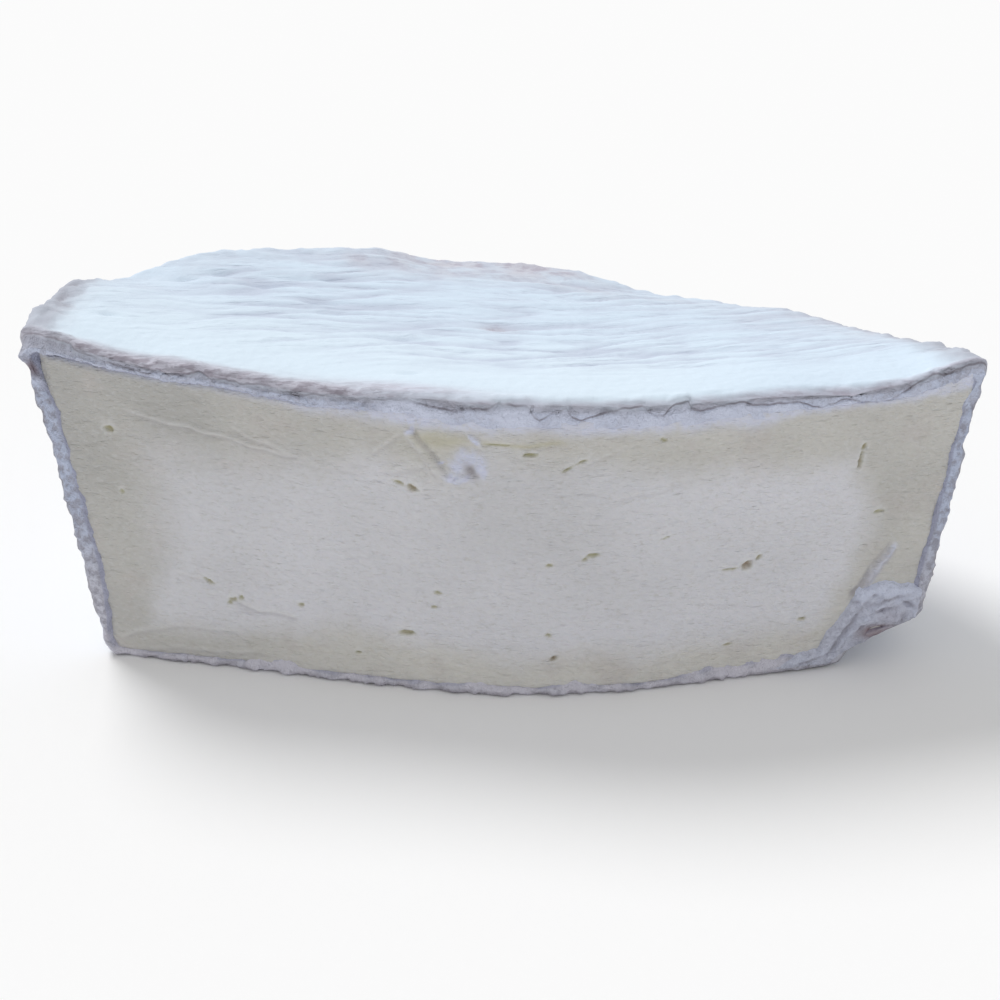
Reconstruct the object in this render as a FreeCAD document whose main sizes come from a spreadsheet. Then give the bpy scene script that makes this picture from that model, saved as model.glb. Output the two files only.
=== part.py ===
"""Half of a bloomy-rind triple cream wheel, cut with two knife strokes.

The wheel is a soft cheese that was drained in a flared hoop, so its wall leans outwards as it rises,
its plan is a little out of round and its top rises and dips by a few millimetres.  Two strokes of a
long knife, which meet at a blunt tip in front of the wheel's middle, leave the half that is modelled.

Millimetres, +Z up.  While the shapes are built, the wheel's axis is the Z axis, its back is +Y and
the knife comes in from -Y.  The finished half is placed with its origin under the middle of its
bounding box, on the surface that it rests on.
"""

import FreeCAD
import Part

import math
import os

import Sketcher

NODE = "cheese_half"

# alias, value, what it is
SIZES = [
    ("rim_radius", 98.0, "mean radius of the wheel at its upper rim"),
    ("base_radius", 88.4, "mean radius where the wall would meet the underside without its rounding"),
    ("middle_height", 61.5, "height of the top in the middle of the wheel"),
    ("rim_round", 2.2, "rounding of the upper rim"),
    ("base_round", 3.5, "rounding of the lower edge"),
    ("wall_belly", 0.2, "how far the wall swells halfway up"),
    ("rim_lip", 1.0, "how far the crest of the rim leans out past the wall's flare"),
    ("oval_size", 2.0, "two-lobed unevenness of the plan"),
    ("oval_turn", 127.0, "direction of its bulge, in degrees"),
    ("trefoil_size", 2.8, "three-lobed unevenness of the plan"),
    ("trefoil_turn", 37.0, "direction of its first lobe, in degrees"),
    ("tilt_across", 5.0, "drop of the top from the middle to the right rim"),
    ("tilt_back", 2.3, "rise of the top from the middle to the back rim"),
    ("saddle_size", 4.8, "two-lobed rise of the top at the rim"),
    ("saddle_turn", -18.0, "direction of its ridge, in degrees"),
    ("dip_size", 1.7, "three-lobed rise of the top at the rim"),
    ("dip_turn", 5.0, "direction of its first crest, in degrees"),
    ("ripple_size", 1.5, "four-lobed rise of the top at the rim"),
    ("ripple_turn", -6.0, "direction of its first crest, in degrees"),
    ("tip_forward", 26.0, "how far the lines of the two cuts meet in front of the wheel's middle"),
    ("tip_aside", 4.8, "how far that meeting point lies to the right of it"),
    ("tip_round", 120.0, "radius that blends the two cuts"),
    ("left_forward", 3.4, "how far in front of the middle the left cut leaves the rim"),
    ("right_forward", 5.0, "how far in front of the middle the right cut leaves the rim"),
    ("crush_depth", 20.0, "how far the lower right corner is pushed in"),
    ("crush_height", 11.0, "height up to which it is pushed in"),
    ("crush_span", 24.0, "angle over which the push fades along the wall, in degrees"),
]

LOBES = {"oval": 2, "trefoil": 3, "saddle": 2, "dip": 3, "ripple": 4}
AROUND = 48          # control points round the wheel
WALL_SHARES = (0.09, 0.15, 0.25, 0.45, 0.65, 0.82)      # heights of the wall's control points
TOP_SHARES = (1.0, 0.85, 0.7, 0.55, 0.4, 0.2, 0.0)      # how far out the top's control points lie
LIP_CURVE = 12       # how suddenly the lip starts below the rim
GATHER = 25.0        # the top's lines gather this far in front of the cuts, in what the knife removes
MARGIN = 15.0        # how far the knife's plan reaches past the wheel
MESH_STEP = 0.03     # fineness of the mesh that the bounding box is measured on


def make_sheet(doc):
    """Spreadsheet with one aliased cell for each driving size."""
    sheet = doc.addObject("Spreadsheet::Sheet", "Sizes")
    for row, (alias, value, meaning) in enumerate(SIZES, start=1):
        sheet.set(f"A{row}", alias)
        sheet.set(f"B{row}", str(value))
        sheet.set(f"C{row}", meaning)
        sheet.setAlias(f"B{row}", alias)
    doc.recompute()
    return sheet


def wave(sheet, name, angle):
    """Height, in the direction angle, of one of the waves that run round the wheel."""
    turn = math.radians(sheet.get(f"{name}_turn"))
    return sheet.get(f"{name}_size") * math.cos(LOBES[name] * (angle - turn))


def plan_radius(sheet, angle):
    """Radius of the wheel's upper rim in the direction angle."""
    return sheet.rim_radius + wave(sheet, "oval", angle) + wave(sheet, "trefoil", angle)


def top_height(sheet, x, y):
    """Height of the top at a place: a tilted plate with waves that grow from the middle outwards."""
    across = x / sheet.rim_radius
    back = y / sheet.rim_radius
    reach = math.hypot(across, back)
    angle = math.atan2(back, across)
    height = sheet.middle_height - sheet.tilt_across * across + sheet.tilt_back * back
    for name in ("saddle", "dip", "ripple"):
        height += reach ** LOBES[name] * wave(sheet, name, angle)
    return height


def crush_inset(sheet, angle, height):
    """How far the lower right corner is pushed in, fading with height and along the wall."""
    if height >= sheet.crush_height:
        return 0.0
    corner = -math.asin(sheet.right_forward / sheet.rim_radius)
    turned = abs(math.remainder(angle - corner, 2.0 * math.pi))
    span = math.radians(sheet.crush_span)
    if turned >= span:
        return 0.0
    along = 0.5 + 0.5 * math.cos(math.pi * turned / span)
    upward = (1.0 - (height / sheet.crush_height) ** 2) ** 2
    return sheet.crush_depth * along * upward


def rim_point(sheet, angle, inset):
    """Point of the top, an inset inside the rim in the direction angle."""
    radius = plan_radius(sheet, angle) - inset
    x = radius * math.cos(angle)
    y = radius * math.sin(angle)
    return FreeCAD.Vector(x, y, top_height(sheet, x, y))


def wall_point(sheet, angle, height, inset):
    """Point of the wall at a height, an inset inside its flared and slightly bellied line."""
    share = height / rim_point(sheet, angle, 0.0).z
    flare = (sheet.rim_radius - sheet.rim_lip - sheet.base_radius) * (1.0 - share)
    belly = sheet.wall_belly * 4.0 * share * (1.0 - share)
    below_lip = sheet.rim_lip * (1.0 - share**LIP_CURVE)
    radius = plan_radius(sheet, angle) - flare - below_lip + belly
    radius -= inset + crush_inset(sheet, angle, height)
    return FreeCAD.Vector(radius * math.cos(angle), radius * math.sin(angle), height)


def top_point(sheet, rim, share):
    """Point of the top, a share of the way from the skin's gathering point out to a point at the rim."""
    x = sheet.tip_aside + share * (rim.x - sheet.tip_aside)
    gather_y = -sheet.tip_forward - GATHER
    y = gather_y + share * (rim.y - gather_y)
    return FreeCAD.Vector(x, y, top_height(sheet, x, y))


def profile(sheet, angle):
    """Control points of the skin in one direction: underside, wall, rim and top, then the gathering."""
    rim_height = rim_point(sheet, angle, 0.0).z
    points = [
        wall_point(sheet, angle, 0.0, sheet.base_round),
        wall_point(sheet, angle, 0.0, 0.5 * sheet.base_round),
        wall_point(sheet, angle, 0.35 * sheet.base_round, 0.0),
    ]
    for share in WALL_SHARES:
        points.append(wall_point(sheet, angle, share * rim_height, 0.0))
    points.append(wall_point(sheet, angle, rim_height - sheet.rim_round, 0.0))
    points.append(wall_point(sheet, angle, rim_height - 0.3 * sheet.rim_round, 0.0))
    points.append(rim_point(sheet, angle, 0.7 * sheet.rim_round))
    inner_rim = rim_point(sheet, angle, 2.0 * sheet.rim_round)
    for share in TOP_SHARES:
        points.append(top_point(sheet, inner_rim, share))
    return points


def make_wheel(doc, sheet):
    """The whole uneven wheel: one smooth skin round its axis, closed below by the flat underside."""
    # a smooth closed curve runs inside its control points by this share, which is given back
    give_back = 3.0 / (2.0 + math.cos(2.0 * math.pi / AROUND))
    poles = []
    for step in range(AROUND):
        row = profile(sheet, 2.0 * math.pi * step / AROUND)
        poles.append([FreeCAD.Vector(p.x * give_back, p.y * give_back, p.z) for p in row])
    upward = len(poles[0])
    around_knots = [float(n) for n in range(AROUND + 1)]
    around_counts = [1] * (AROUND + 1)
    upward_knots = [float(n) for n in range(upward - 2)]
    upward_counts = [4] + [1] * (upward - 4) + [4]
    skin = Part.BSplineSurface()
    skin.buildFromPolesMultsKnots(
        poles, around_counts, upward_counts, around_knots, upward_knots, True, False, 3, 3)
    side = skin.toShape()
    rest_edge = min(side.Edges, key=lambda edge: edge.BoundBox.ZMax)
    underside = Part.Face(Part.Wire([rest_edge]))
    underside.reverse()
    wheel = doc.addObject("Part::Feature", "Wheel")
    wheel.Shape = Part.makeSolid(Part.makeShell([side, underside]))
    return wheel


def make_knife_plan(doc, sheet):
    """Plan of the side of the knife that stays: two straight cuts blended at the tip, open at the back."""
    plan = doc.addObject("Sketcher::SketchObject", "KnifePlan")
    reach = sheet.rim_radius + MARGIN
    tip = FreeCAD.Vector(sheet.tip_aside, -sheet.tip_forward, 0.0)
    left_rim = FreeCAD.Vector(-sheet.rim_radius, -sheet.left_forward, 0.0)
    right_rim = FreeCAD.Vector(sheet.rim_radius, -sheet.right_forward, 0.0)
    leftward = (left_rim - tip).normalize()
    rightward = (right_rim - tip).normalize()
    left_end = tip + leftward * ((-reach - tip.x) / leftward.x)
    right_end = tip + rightward * ((reach - tip.x) / rightward.x)

    # the blending arc touches each cut this far from the tip, with its centre behind the tip
    half_turn = 0.5 * (math.pi - leftward.getAngle(rightward))
    touch = sheet.tip_round * math.tan(half_turn)
    left_touch = tip + leftward * touch
    right_touch = tip + rightward * touch
    inward = (leftward + rightward).normalize()
    centre = tip + inward * (sheet.tip_round / math.cos(half_turn))
    circle = Part.Circle(centre, FreeCAD.Vector(0.0, 0.0, 1.0), sheet.tip_round)
    starts = math.atan2(left_touch.y - centre.y, left_touch.x - centre.x)
    ends = math.atan2(right_touch.y - centre.y, right_touch.x - centre.x)

    left_cut = plan.addGeometry(Part.LineSegment(left_end, left_touch), False)
    blend = plan.addGeometry(Part.ArcOfCircle(circle, starts, ends), False)
    right_cut = plan.addGeometry(Part.LineSegment(right_touch, right_end), False)
    back_right = FreeCAD.Vector(reach, reach, 0.0)
    back_left = FreeCAD.Vector(-reach, reach, 0.0)
    right_side = plan.addGeometry(Part.LineSegment(right_end, back_right), False)
    back_side = plan.addGeometry(Part.LineSegment(back_right, back_left), False)
    left_side = plan.addGeometry(Part.LineSegment(back_left, left_end), False)
    tip_mark = plan.addGeometry(Part.Point(tip), True)
    left_mark = plan.addGeometry(Part.Point(left_rim), True)
    right_mark = plan.addGeometry(Part.Point(right_rim), True)

    start, end, origin = 1, 2, -1
    plan.addConstraint([
        Sketcher.Constraint("Tangent", left_cut, end, blend, start),
        Sketcher.Constraint("Tangent", blend, end, right_cut, start),
        Sketcher.Constraint("Coincident", right_cut, end, right_side, start),
        Sketcher.Constraint("Coincident", right_side, end, back_side, start),
        Sketcher.Constraint("Coincident", back_side, end, left_side, start),
        Sketcher.Constraint("Coincident", left_side, end, left_cut, start),
        Sketcher.Constraint("Vertical", right_side),
        Sketcher.Constraint("Horizontal", back_side),
        Sketcher.Constraint("Vertical", left_side),
        Sketcher.Constraint("PointOnObject", tip_mark, start, left_cut),
        Sketcher.Constraint("PointOnObject", tip_mark, start, right_cut),
        Sketcher.Constraint("PointOnObject", left_mark, start, left_cut),
        Sketcher.Constraint("PointOnObject", right_mark, start, right_cut),
    ])
    # kind, ends of the distance, first value, expression
    driven = [
        ("DistanceX", (origin, start, tip_mark, start), sheet.tip_aside, "Sizes.tip_aside"),
        ("DistanceY", (tip_mark, start, origin, start), sheet.tip_forward, "Sizes.tip_forward"),
        ("DistanceX", (left_mark, start, origin, start), sheet.rim_radius, "Sizes.rim_radius"),
        ("DistanceY", (left_mark, start, origin, start), sheet.left_forward, "Sizes.left_forward"),
        ("DistanceX", (origin, start, right_mark, start), sheet.rim_radius, "Sizes.rim_radius"),
        ("DistanceY", (right_mark, start, origin, start), sheet.right_forward, "Sizes.right_forward"),
        ("DistanceX", (left_side, start, origin, start), reach, f"Sizes.rim_radius + {MARGIN}"),
        ("DistanceX", (origin, start, back_side, start), reach, f"Sizes.rim_radius + {MARGIN}"),
        ("DistanceY", (origin, start, back_side, start), reach, f"Sizes.rim_radius + {MARGIN}"),
        ("Radius", (blend,), sheet.tip_round, "Sizes.tip_round"),
    ]
    for kind, ends_of_it, value, expression in driven:
        number = plan.addConstraint(Sketcher.Constraint(kind, *ends_of_it, value))
        plan.setExpression(f"Constraints[{number}]", expression)
    return plan


def make_half(doc, wheel, plan):
    """The half that stays: the wheel's share on the near side of the two cuts."""
    side = doc.addObject("Part::Extrusion", "KeptSide")
    side.Base = plan
    side.DirMode = "Custom"
    side.Dir = FreeCAD.Vector(0.0, 0.0, 1.0)
    side.Solid = True
    side.setExpression("LengthFwd", f"Sizes.middle_height * 2 + {MARGIN}")
    side.setExpression("LengthRev", f"{MARGIN}")
    half = doc.addObject("Part::Common", "CheeseHalf")
    half.Base = wheel
    half.Tool = side
    half.Label = NODE
    return half


def extent(shape):
    """Bounding box of the shape's own surface, measured on a fine mesh of it."""
    box = FreeCAD.BoundBox()
    for point in shape.tessellate(MESH_STEP)[0]:
        box.add(point)
    return box


def place_at_rest(doc, half):
    """Stands the half on Z = 0 with the middle of its bounding box over the origin."""
    doc.recompute()
    box = extent(half.Shape)
    half.Placement = FreeCAD.Placement(
        FreeCAD.Vector(-box.Center.x, -box.Center.y, -box.ZMin), FreeCAD.Rotation())


def check(doc, half):
    """Stops when any object failed or the half isn't one closed solid."""
    for item in doc.Objects:
        if "Invalid" in item.State or "Error" in item.State:
            raise RuntimeError(f"{item.Name} failed: {item.State}")
    shape = half.Shape
    if shape.isNull() or not shape.isValid() or len(shape.Solids) != 1:
        raise RuntimeError(f"{half.Label} is not one valid solid")


def main():
    doc = FreeCAD.newDocument("TripleCream")
    sheet = make_sheet(doc)
    wheel = make_wheel(doc, sheet)
    plan = make_knife_plan(doc, sheet)
    half = make_half(doc, wheel, plan)
    place_at_rest(doc, half)
    doc.recompute()
    check(doc, half)
    box = extent(half.Shape)
    print(f"{half.Label}: {box.XLength:.1f} x {box.YLength:.1f} x {box.ZLength:.1f} mm,",
          f"{half.Shape.Volume / 1000.0:.0f} ml")
    os.makedirs("parts", exist_ok=True)
    half.Shape.exportStep(f"parts/{half.Label}.step")


main()
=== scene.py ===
# %% [markdown]
# # Half of a triple cream wheel, dressed
#
# The real thing is a soft white cheese with a bloomy rind, cut in two with a long knife. Two kinds of
# matter show: the **rind**, a felt of white mould that wrinkles as it dries, and the **paste**, which is
# chalky in its core and has turned to cream in a band under the rind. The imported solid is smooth, so
# this lesson rebuilds the same form as surfaces worked out with numpy, and gives them their relief.

import math

import bmesh
import bpy
import numpy as np
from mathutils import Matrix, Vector


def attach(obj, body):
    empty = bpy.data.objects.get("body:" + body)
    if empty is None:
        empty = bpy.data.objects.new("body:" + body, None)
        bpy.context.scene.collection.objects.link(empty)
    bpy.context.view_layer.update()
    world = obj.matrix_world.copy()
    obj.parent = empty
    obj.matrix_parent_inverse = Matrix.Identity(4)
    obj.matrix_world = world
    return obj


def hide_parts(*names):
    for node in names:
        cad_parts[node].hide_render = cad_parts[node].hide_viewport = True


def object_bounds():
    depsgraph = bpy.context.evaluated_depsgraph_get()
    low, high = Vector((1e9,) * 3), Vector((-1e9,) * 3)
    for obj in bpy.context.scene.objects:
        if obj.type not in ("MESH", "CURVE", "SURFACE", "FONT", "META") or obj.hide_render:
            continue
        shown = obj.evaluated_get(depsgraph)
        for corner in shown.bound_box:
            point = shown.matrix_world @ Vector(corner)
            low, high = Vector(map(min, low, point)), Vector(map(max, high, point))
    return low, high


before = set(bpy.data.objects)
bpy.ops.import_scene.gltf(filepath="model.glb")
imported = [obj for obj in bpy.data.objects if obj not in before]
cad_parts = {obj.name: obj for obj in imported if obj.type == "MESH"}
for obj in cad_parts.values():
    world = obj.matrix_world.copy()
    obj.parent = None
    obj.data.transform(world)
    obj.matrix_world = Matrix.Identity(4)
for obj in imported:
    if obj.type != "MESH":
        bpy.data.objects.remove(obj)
cad_low, cad_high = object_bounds()
print("CAD box in metres:", [round(v, 4) for v in cad_high - cad_low])

# %% [markdown]
# ## The sizes of the wheel
#
# The shape is worked out in millimetres round the axis of the whole wheel: the back of the half is
# towards +Y and the knife came in from -Y. The sizes are the ones the solid was built from. One
# modelled millimetre becomes `MM` metres, which is read from the width of the imported solid, so the
# looks would follow if the solid came at another size.

# %% Sizes, in millimetres and degrees
MODELLED_WIDTH = 194.756
MM = (cad_high.x - cad_low.x) / MODELLED_WIDTH

RIM_RADIUS = 98.0
BASE_RADIUS = 88.4
MIDDLE_HEIGHT = 61.5
RIM_ROUND = 2.2
BASE_ROUND = 3.5
WALL_BELLY = 0.2
RIM_LIP = 1.0
LIP_CURVE = 12
TILT_ACROSS = 5.0
TILT_BACK = 2.3
# lobes round the wheel: how many, how large, and the direction of the first one
PLAN_WAVES = ((2, 2.0, 127.0), (3, 2.8, 37.0))
TOP_WAVES = ((2, 4.8, -18.0), (3, 1.7, 5.0), (4, 1.5, -6.0))

TIP = (4.8, -26.0)
LEFT_RIM = (-98.0, -3.4)
RIGHT_RIM = (98.0, -5.0)
TIP_ROUND = 120.0
CRUSH_DEPTH = 20.0
CRUSH_HEIGHT = 11.0
CRUSH_SPAN = math.radians(24.0)
print(f"one modelled millimetre is {MM:.6f} m")

# %% [markdown]
# ## Helpers for uneven surfaces
#
# Nothing on a ripened cheese repeats, so the relief comes from noise. Blender's displacement textures
# would do it too, but their pattern can't be bent along the wrinkles. This noise is a plain function:
# whole-numbered places get a slope from a hash of their coordinates, and the places between them are
# blended, so the same call always gives the same bumps.

# %% Noise and blending
def smooth(value, low=0.0, high=1.0):
    """0 below low, 1 above high, and an S-shaped blend 3t^2 - 2t^3 between them."""
    t = np.clip((value - low) / (high - low), 0.0, 1.0)
    return t * t * (3.0 - 2.0 * t)


def bell(*shares_of_reach):
    """1 in the middle, falling off like a bell with each distance divided by its reach."""
    return np.exp(-sum(share**2 for share in shares_of_reach))


def hashed(ix, iy, iz, seed):
    """Repeatable number from -1 to 1 for each whole-numbered place."""
    mixed = (ix * 374761393 + iy * 668265263 + iz * 2147483629 + seed * 912271) & 0xFFFFFFFF
    mixed = ((mixed ^ (mixed >> 13)) * 1274126177) & 0xFFFFFFFF
    mixed = mixed ^ (mixed >> 16)
    return (mixed & 0xFFFF) / 32767.5 - 1.0


def noise(x, y, z, size, seed):
    """Smooth bumps from about -1 to 1, one every size millimetres, blended with 6t^5 - 15t^4 + 10t^3."""
    x, y, z = np.broadcast_arrays(x / size, y / size, z / size)
    ix = np.floor(x).astype(np.int64)
    iy = np.floor(y).astype(np.int64)
    iz = np.floor(z).astype(np.int64)
    fx, fy, fz = x - ix, y - iy, z - iz
    ux, uy, uz = (f * f * f * (f * (6.0 * f - 15.0) + 10.0) for f in (fx, fy, fz))
    total = np.zeros(x.shape)
    for corner in range(8):
        cx, cy, cz = corner & 1, corner >> 1 & 1, corner >> 2
        place = (ix + cx, iy + cy, iz + cz)
        slope = hashed(*place, seed) * (fx - cx)
        slope += hashed(*place, seed + 101) * (fy - cy)
        slope += hashed(*place, seed + 202) * (fz - cz)
        weight = np.where(cx, ux, 1.0 - ux) * np.where(cy, uy, 1.0 - uy) * np.where(cz, uz, 1.0 - uz)
        total += weight * slope
    return 1.7 * total


def layered(x, y, z, size, seed, layers=3):
    """Noise of several sizes added up, each half as wide and half as high as the one before."""
    total = 0.0
    for layer in range(layers):
        total = total + 0.5**layer * noise(x, y, z, size * 0.5**layer, seed + 17 * layer)
    return total


def crumbs(x, y, z, size, seed):
    """Crumbly matter from -1 to 1: round lumps with narrow clefts, from the size of layered noise."""
    lumps = np.abs(noise(x, y, z, size, seed)) + 0.5 * np.abs(noise(x, y, z, 0.5 * size, seed + 31))
    return np.clip(2.4 * lumps - 0.9, -1.0, 1.0)


print("noise at one place:", round(float(noise(np.array(1.3), np.array(2.1), np.array(0.4), 1.0, 7)), 4))

# %% [markdown]
# ## The wheel as formulas
#
# A wheel that drained in a flared hoop leans outwards as it rises, and a soft one is a little out of
# round. A lathe profile would make a perfect disc, so the radius and the height of the top are
# functions of the direction instead: a few slow waves run round the wheel and fade to its middle.

# %% Radius, top and knife
def plan_radius(angle):
    """Radius of the upper rim: the mean radius with a two-lobed and a three-lobed wave."""
    radius = RIM_RADIUS
    for lobes, size, turn in PLAN_WAVES:
        radius = radius + size * np.cos(lobes * (angle - math.radians(turn)))
    return radius


def top_height(x, y):
    """Height of the top: a tilted plate with waves that grow as powers of the reach from the middle."""
    across, back = x / RIM_RADIUS, y / RIM_RADIUS
    reach = np.hypot(across, back)
    angle = np.arctan2(back, across)
    height = MIDDLE_HEIGHT - TILT_ACROSS * across + TILT_BACK * back
    for lobes, size, turn in TOP_WAVES:
        height = height + reach**lobes * size * np.cos(lobes * (angle - math.radians(turn)))
    return height


def rim_height(angle):
    """Height of the top where it meets the rim in the direction angle."""
    radius = plan_radius(angle)
    return top_height(radius * np.cos(angle), radius * np.sin(angle))


def wall_radius(angle, height):
    """Radius of the flared wall, with the lower right corner pushed in by a smooth dent."""
    share = height / rim_height(angle)
    flare = (RIM_RADIUS - RIM_LIP - BASE_RADIUS) * (1.0 - share)
    radius = plan_radius(angle) - flare - RIM_LIP * (1.0 - share**LIP_CURVE)
    radius = radius + WALL_BELLY * 4.0 * share * (1.0 - share)
    corner = -math.asin(-RIGHT_RIM[1] / RIM_RADIUS)
    turned = np.clip(np.abs(angle - corner) / CRUSH_SPAN, 0.0, 1.0)
    upward = 1.0 - np.clip(height / CRUSH_HEIGHT, 0.0, 1.0) ** 2
    return radius - CRUSH_DEPTH * (0.5 + 0.5 * np.cos(math.pi * turned)) * upward**2


def unit(vector):
    """The same direction with length one."""
    return np.array(vector) / np.linalg.norm(vector)


LEFTWARD = unit(np.subtract(LEFT_RIM, TIP))
RIGHTWARD = unit(np.subtract(RIGHT_RIM, TIP))
HALF_TURN = 0.5 * (math.pi - math.acos(LEFTWARD @ RIGHTWARD))
TOUCH = TIP_ROUND * math.tan(HALF_TURN)
BLEND_CENTRE = TIP + unit(LEFTWARD + RIGHTWARD) * TIP_ROUND / math.cos(HALF_TURN)


def knife_y(x):
    """Plan of the two cuts: two straight lines, with an arc that touches both round their tip."""
    left = TIP[1] + LEFTWARD[1] / LEFTWARD[0] * (x - TIP[0])
    right = TIP[1] + RIGHTWARD[1] / RIGHTWARD[0] * (x - TIP[0])
    below = np.sqrt(np.maximum(TIP_ROUND**2 - (x - BLEND_CENTRE[0]) ** 2, 0.0))
    arc = BLEND_CENTRE[1] - below
    on_left = x < TIP[0] + LEFTWARD[0] * TOUCH
    on_right = x > TIP[0] + RIGHTWARD[0] * TOUCH
    return np.where(on_left, left, np.where(on_right, right, arc))


def knife_normal(x):
    """Direction in plan that points out of the cut face, towards the knife."""
    slope = (knife_y(x + 0.01) - knife_y(x - 0.01)) / 0.02
    length = np.hypot(slope, 1.0)
    return slope / length, -1.0 / length


print("radius of the rim at the back:", round(float(plan_radius(math.pi / 2)), 2), "mm")

# %% [markdown]
# ## The skin of the half as one grid
#
# The skin runs from the front edge of the underside, round the lower edge, up the wall, over the rim
# and forward across the top to the cut. Columns go round the wheel from the right cut to the left
# cut. Every ring ends exactly where it meets the knife, so the end angle is solved ring by ring: an
# angle is guessed, the knife's line is looked up there, and the angle is put right a few times.

# %% Rings of the skin
COLUMNS = 360
UNDER_ROWS = 10
BASE_ROWS = 4
WALL_ROWS = 78
RIM_ROWS = 6
TOP_ROWS = 110
UNDER_CORNER = 12.0     # how far along the front edge the underside's end columns reach
TOP_CORNER = 26.0       # the same for the top's end columns
shares = np.linspace(0.0, 1.0, COLUMNS + 1)[None, :]


def base_bend(angle, turn):
    """Rounded lower edge: a quarter of an ellipse from the underside to the wall."""
    inner = wall_radius(angle, 0.0) - BASE_ROUND
    outer = wall_radius(angle, BASE_ROUND)
    return inner + (outer - inner) * np.sin(turn), BASE_ROUND * (1.0 - np.cos(turn))


def wall(angle, share):
    """The wall between the two rounded edges, by its share of the height."""
    height = BASE_ROUND + (rim_height(angle) - RIM_ROUND - BASE_ROUND) * share
    return wall_radius(angle, height), height


def rim_bend(angle, turn):
    """Rounded upper rim: a quarter of an ellipse from the wall to the top."""
    low = rim_height(angle) - RIM_ROUND
    outer = wall_radius(angle, low)
    inner = plan_radius(angle) - 1.3 * RIM_ROUND
    high = top_height(inner * np.cos(angle), inner * np.sin(angle))
    return inner + (outer - inner) * np.cos(turn), low + (high - low) * np.sin(turn)


def cut_angles(radius_at, like):
    """Directions in which rings meet the right cut and the left cut, put right step by step."""
    right, left = np.zeros_like(like), np.full_like(like, math.pi)
    for _ in range(12):
        radius = radius_at(right)
        right = np.arcsin(knife_y(radius * np.cos(right)) / radius)
        radius = radius_at(left)
        left = math.pi - np.arcsin(knife_y(radius * np.cos(left)) / radius)
    return right, left


def rings(bend, values):
    """Rings of one stretch of the profile, each from the right cut to the left cut."""
    values = np.asarray(values)[:, None]
    right, left = cut_angles(lambda angle: bend(angle, values)[0], values)
    angle = right + (left - right) * shares
    radius, height = bend(angle, values + 0.0 * angle)
    return np.stack([radius * np.cos(angle), radius * np.sin(angle), height + 0.0 * angle], axis=-1)


def across_to_cut(ring, corner, steps):
    """Plan of the flat sheet between a ring and the cut: straight lines from the one to the other."""
    right, left = ring[0, 0] - corner, ring[-1, 0] + corner
    eased = 0.35 * shares[0] + 0.65 * (0.5 - 0.5 * np.cos(math.pi * shares[0]))
    x = right + (left - right) * eased
    front = np.stack([x, knife_y(x)], axis=-1)
    return ring[None, :, :2] + (front - ring[:, :2])[None] * steps[:, None, None]


quarter = np.linspace(0.0, math.pi / 2, BASE_ROWS + 1)
base_rings = rings(base_bend, quarter)
wall_rings = rings(wall, np.linspace(0.0, 1.0, WALL_ROWS + 1)[1:])
rim_rings = rings(rim_bend, np.linspace(0.0, math.pi / 2, RIM_ROWS + 1)[1:])
under_steps = np.linspace(1.0, 0.0, UNDER_ROWS + 1)[:-1]
under_plan = across_to_cut(base_rings[0], UNDER_CORNER, under_steps)
under = np.concatenate([under_plan, np.zeros(under_plan.shape[:2] + (1,))], axis=-1)
# the rows of the top draw closer towards the cut edge, where the detail is
top_steps = 1.0 - np.linspace(1.0, 0.0, TOP_ROWS + 1)[1:] ** 1.25
top_plan = across_to_cut(rim_rings[-1], TOP_CORNER, top_steps)
top = np.concatenate([top_plan, top_height(top_plan[..., 0], top_plan[..., 1])[..., None]], axis=-1)
skin = np.concatenate([under, base_rings, wall_rings, rim_rings, top])
print("grid of the skin:", skin.shape, "box", np.round(np.ptp(skin.reshape(-1, 3), axis=0), 1), "mm")

# %% [markdown]
# ## From the wheel's own millimetres to the frame
#
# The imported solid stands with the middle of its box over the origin. The smooth skin has the same
# form, so moving the middle of its box to the middle of the solid's box puts every later piece right.

# %% Placing
flat_skin = skin.reshape(-1, 3)
skin_middle = 0.5 * (flat_skin.min(axis=0) + flat_skin.max(axis=0))
cad_middle = 0.5 * (np.array(cad_low) + np.array(cad_high))
SHIFT = np.array([cad_middle[0] / MM - skin_middle[0], cad_middle[1] / MM - skin_middle[1], cad_low.z / MM])


def placed(points):
    """Points in the wheel's millimetres, as metres in the frame."""
    return (np.asarray(points) + SHIFT) * MM


def add_mesh(name, points, faces, **values):
    """A new piece from points and faces, with one number for each point and named value."""
    mesh = bpy.data.meshes.new(name)
    mesh.from_pydata(placed(points), [], faces)
    for key, numbers in values.items():
        mesh.attributes.new(key, "FLOAT", "POINT").data.foreach_set("value", numbers.astype(np.float32))
    work = bmesh.new()
    work.from_mesh(mesh)
    bmesh.ops.remove_doubles(work, verts=work.verts, dist=1e-7)
    bmesh.ops.recalc_face_normals(work, faces=work.faces)
    open_edges = sum(not edge.is_manifold for edge in work.edges)
    volume = work.calc_volume(signed=True)
    work.to_mesh(mesh)
    work.free()
    mesh.shade_smooth()
    piece = bpy.data.objects.new(name, mesh)
    bpy.context.collection.objects.link(piece)
    triangles = sum(len(p.vertices) - 2 for p in mesh.polygons)
    print(f"{name}: {triangles} triangles, {open_edges} open edges, {volume * 1e6:.1f} ml")
    return piece


def grid_faces(index):
    """Four-sided faces between the neighbours of a grid of point numbers."""
    return np.stack([index[:-1, :-1], index[:-1, 1:], index[1:, 1:], index[1:, :-1]], axis=-1).reshape(-1, 4)


def point_normals(points, faces):
    """Outward direction at each point: the mean of the directions of the faces round it."""
    a, b, c, d = (points[faces[:, k]] for k in range(4))
    across = np.cross(c - a, d - b)
    total = np.zeros_like(points)
    for k in range(4):
        np.add.at(total, faces[:, k], across)
    return total / np.maximum(np.linalg.norm(total, axis=1, keepdims=True), 1e-9)


print("shift of the wheel's axis:", np.round(SHIFT, 3), "mm")

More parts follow.
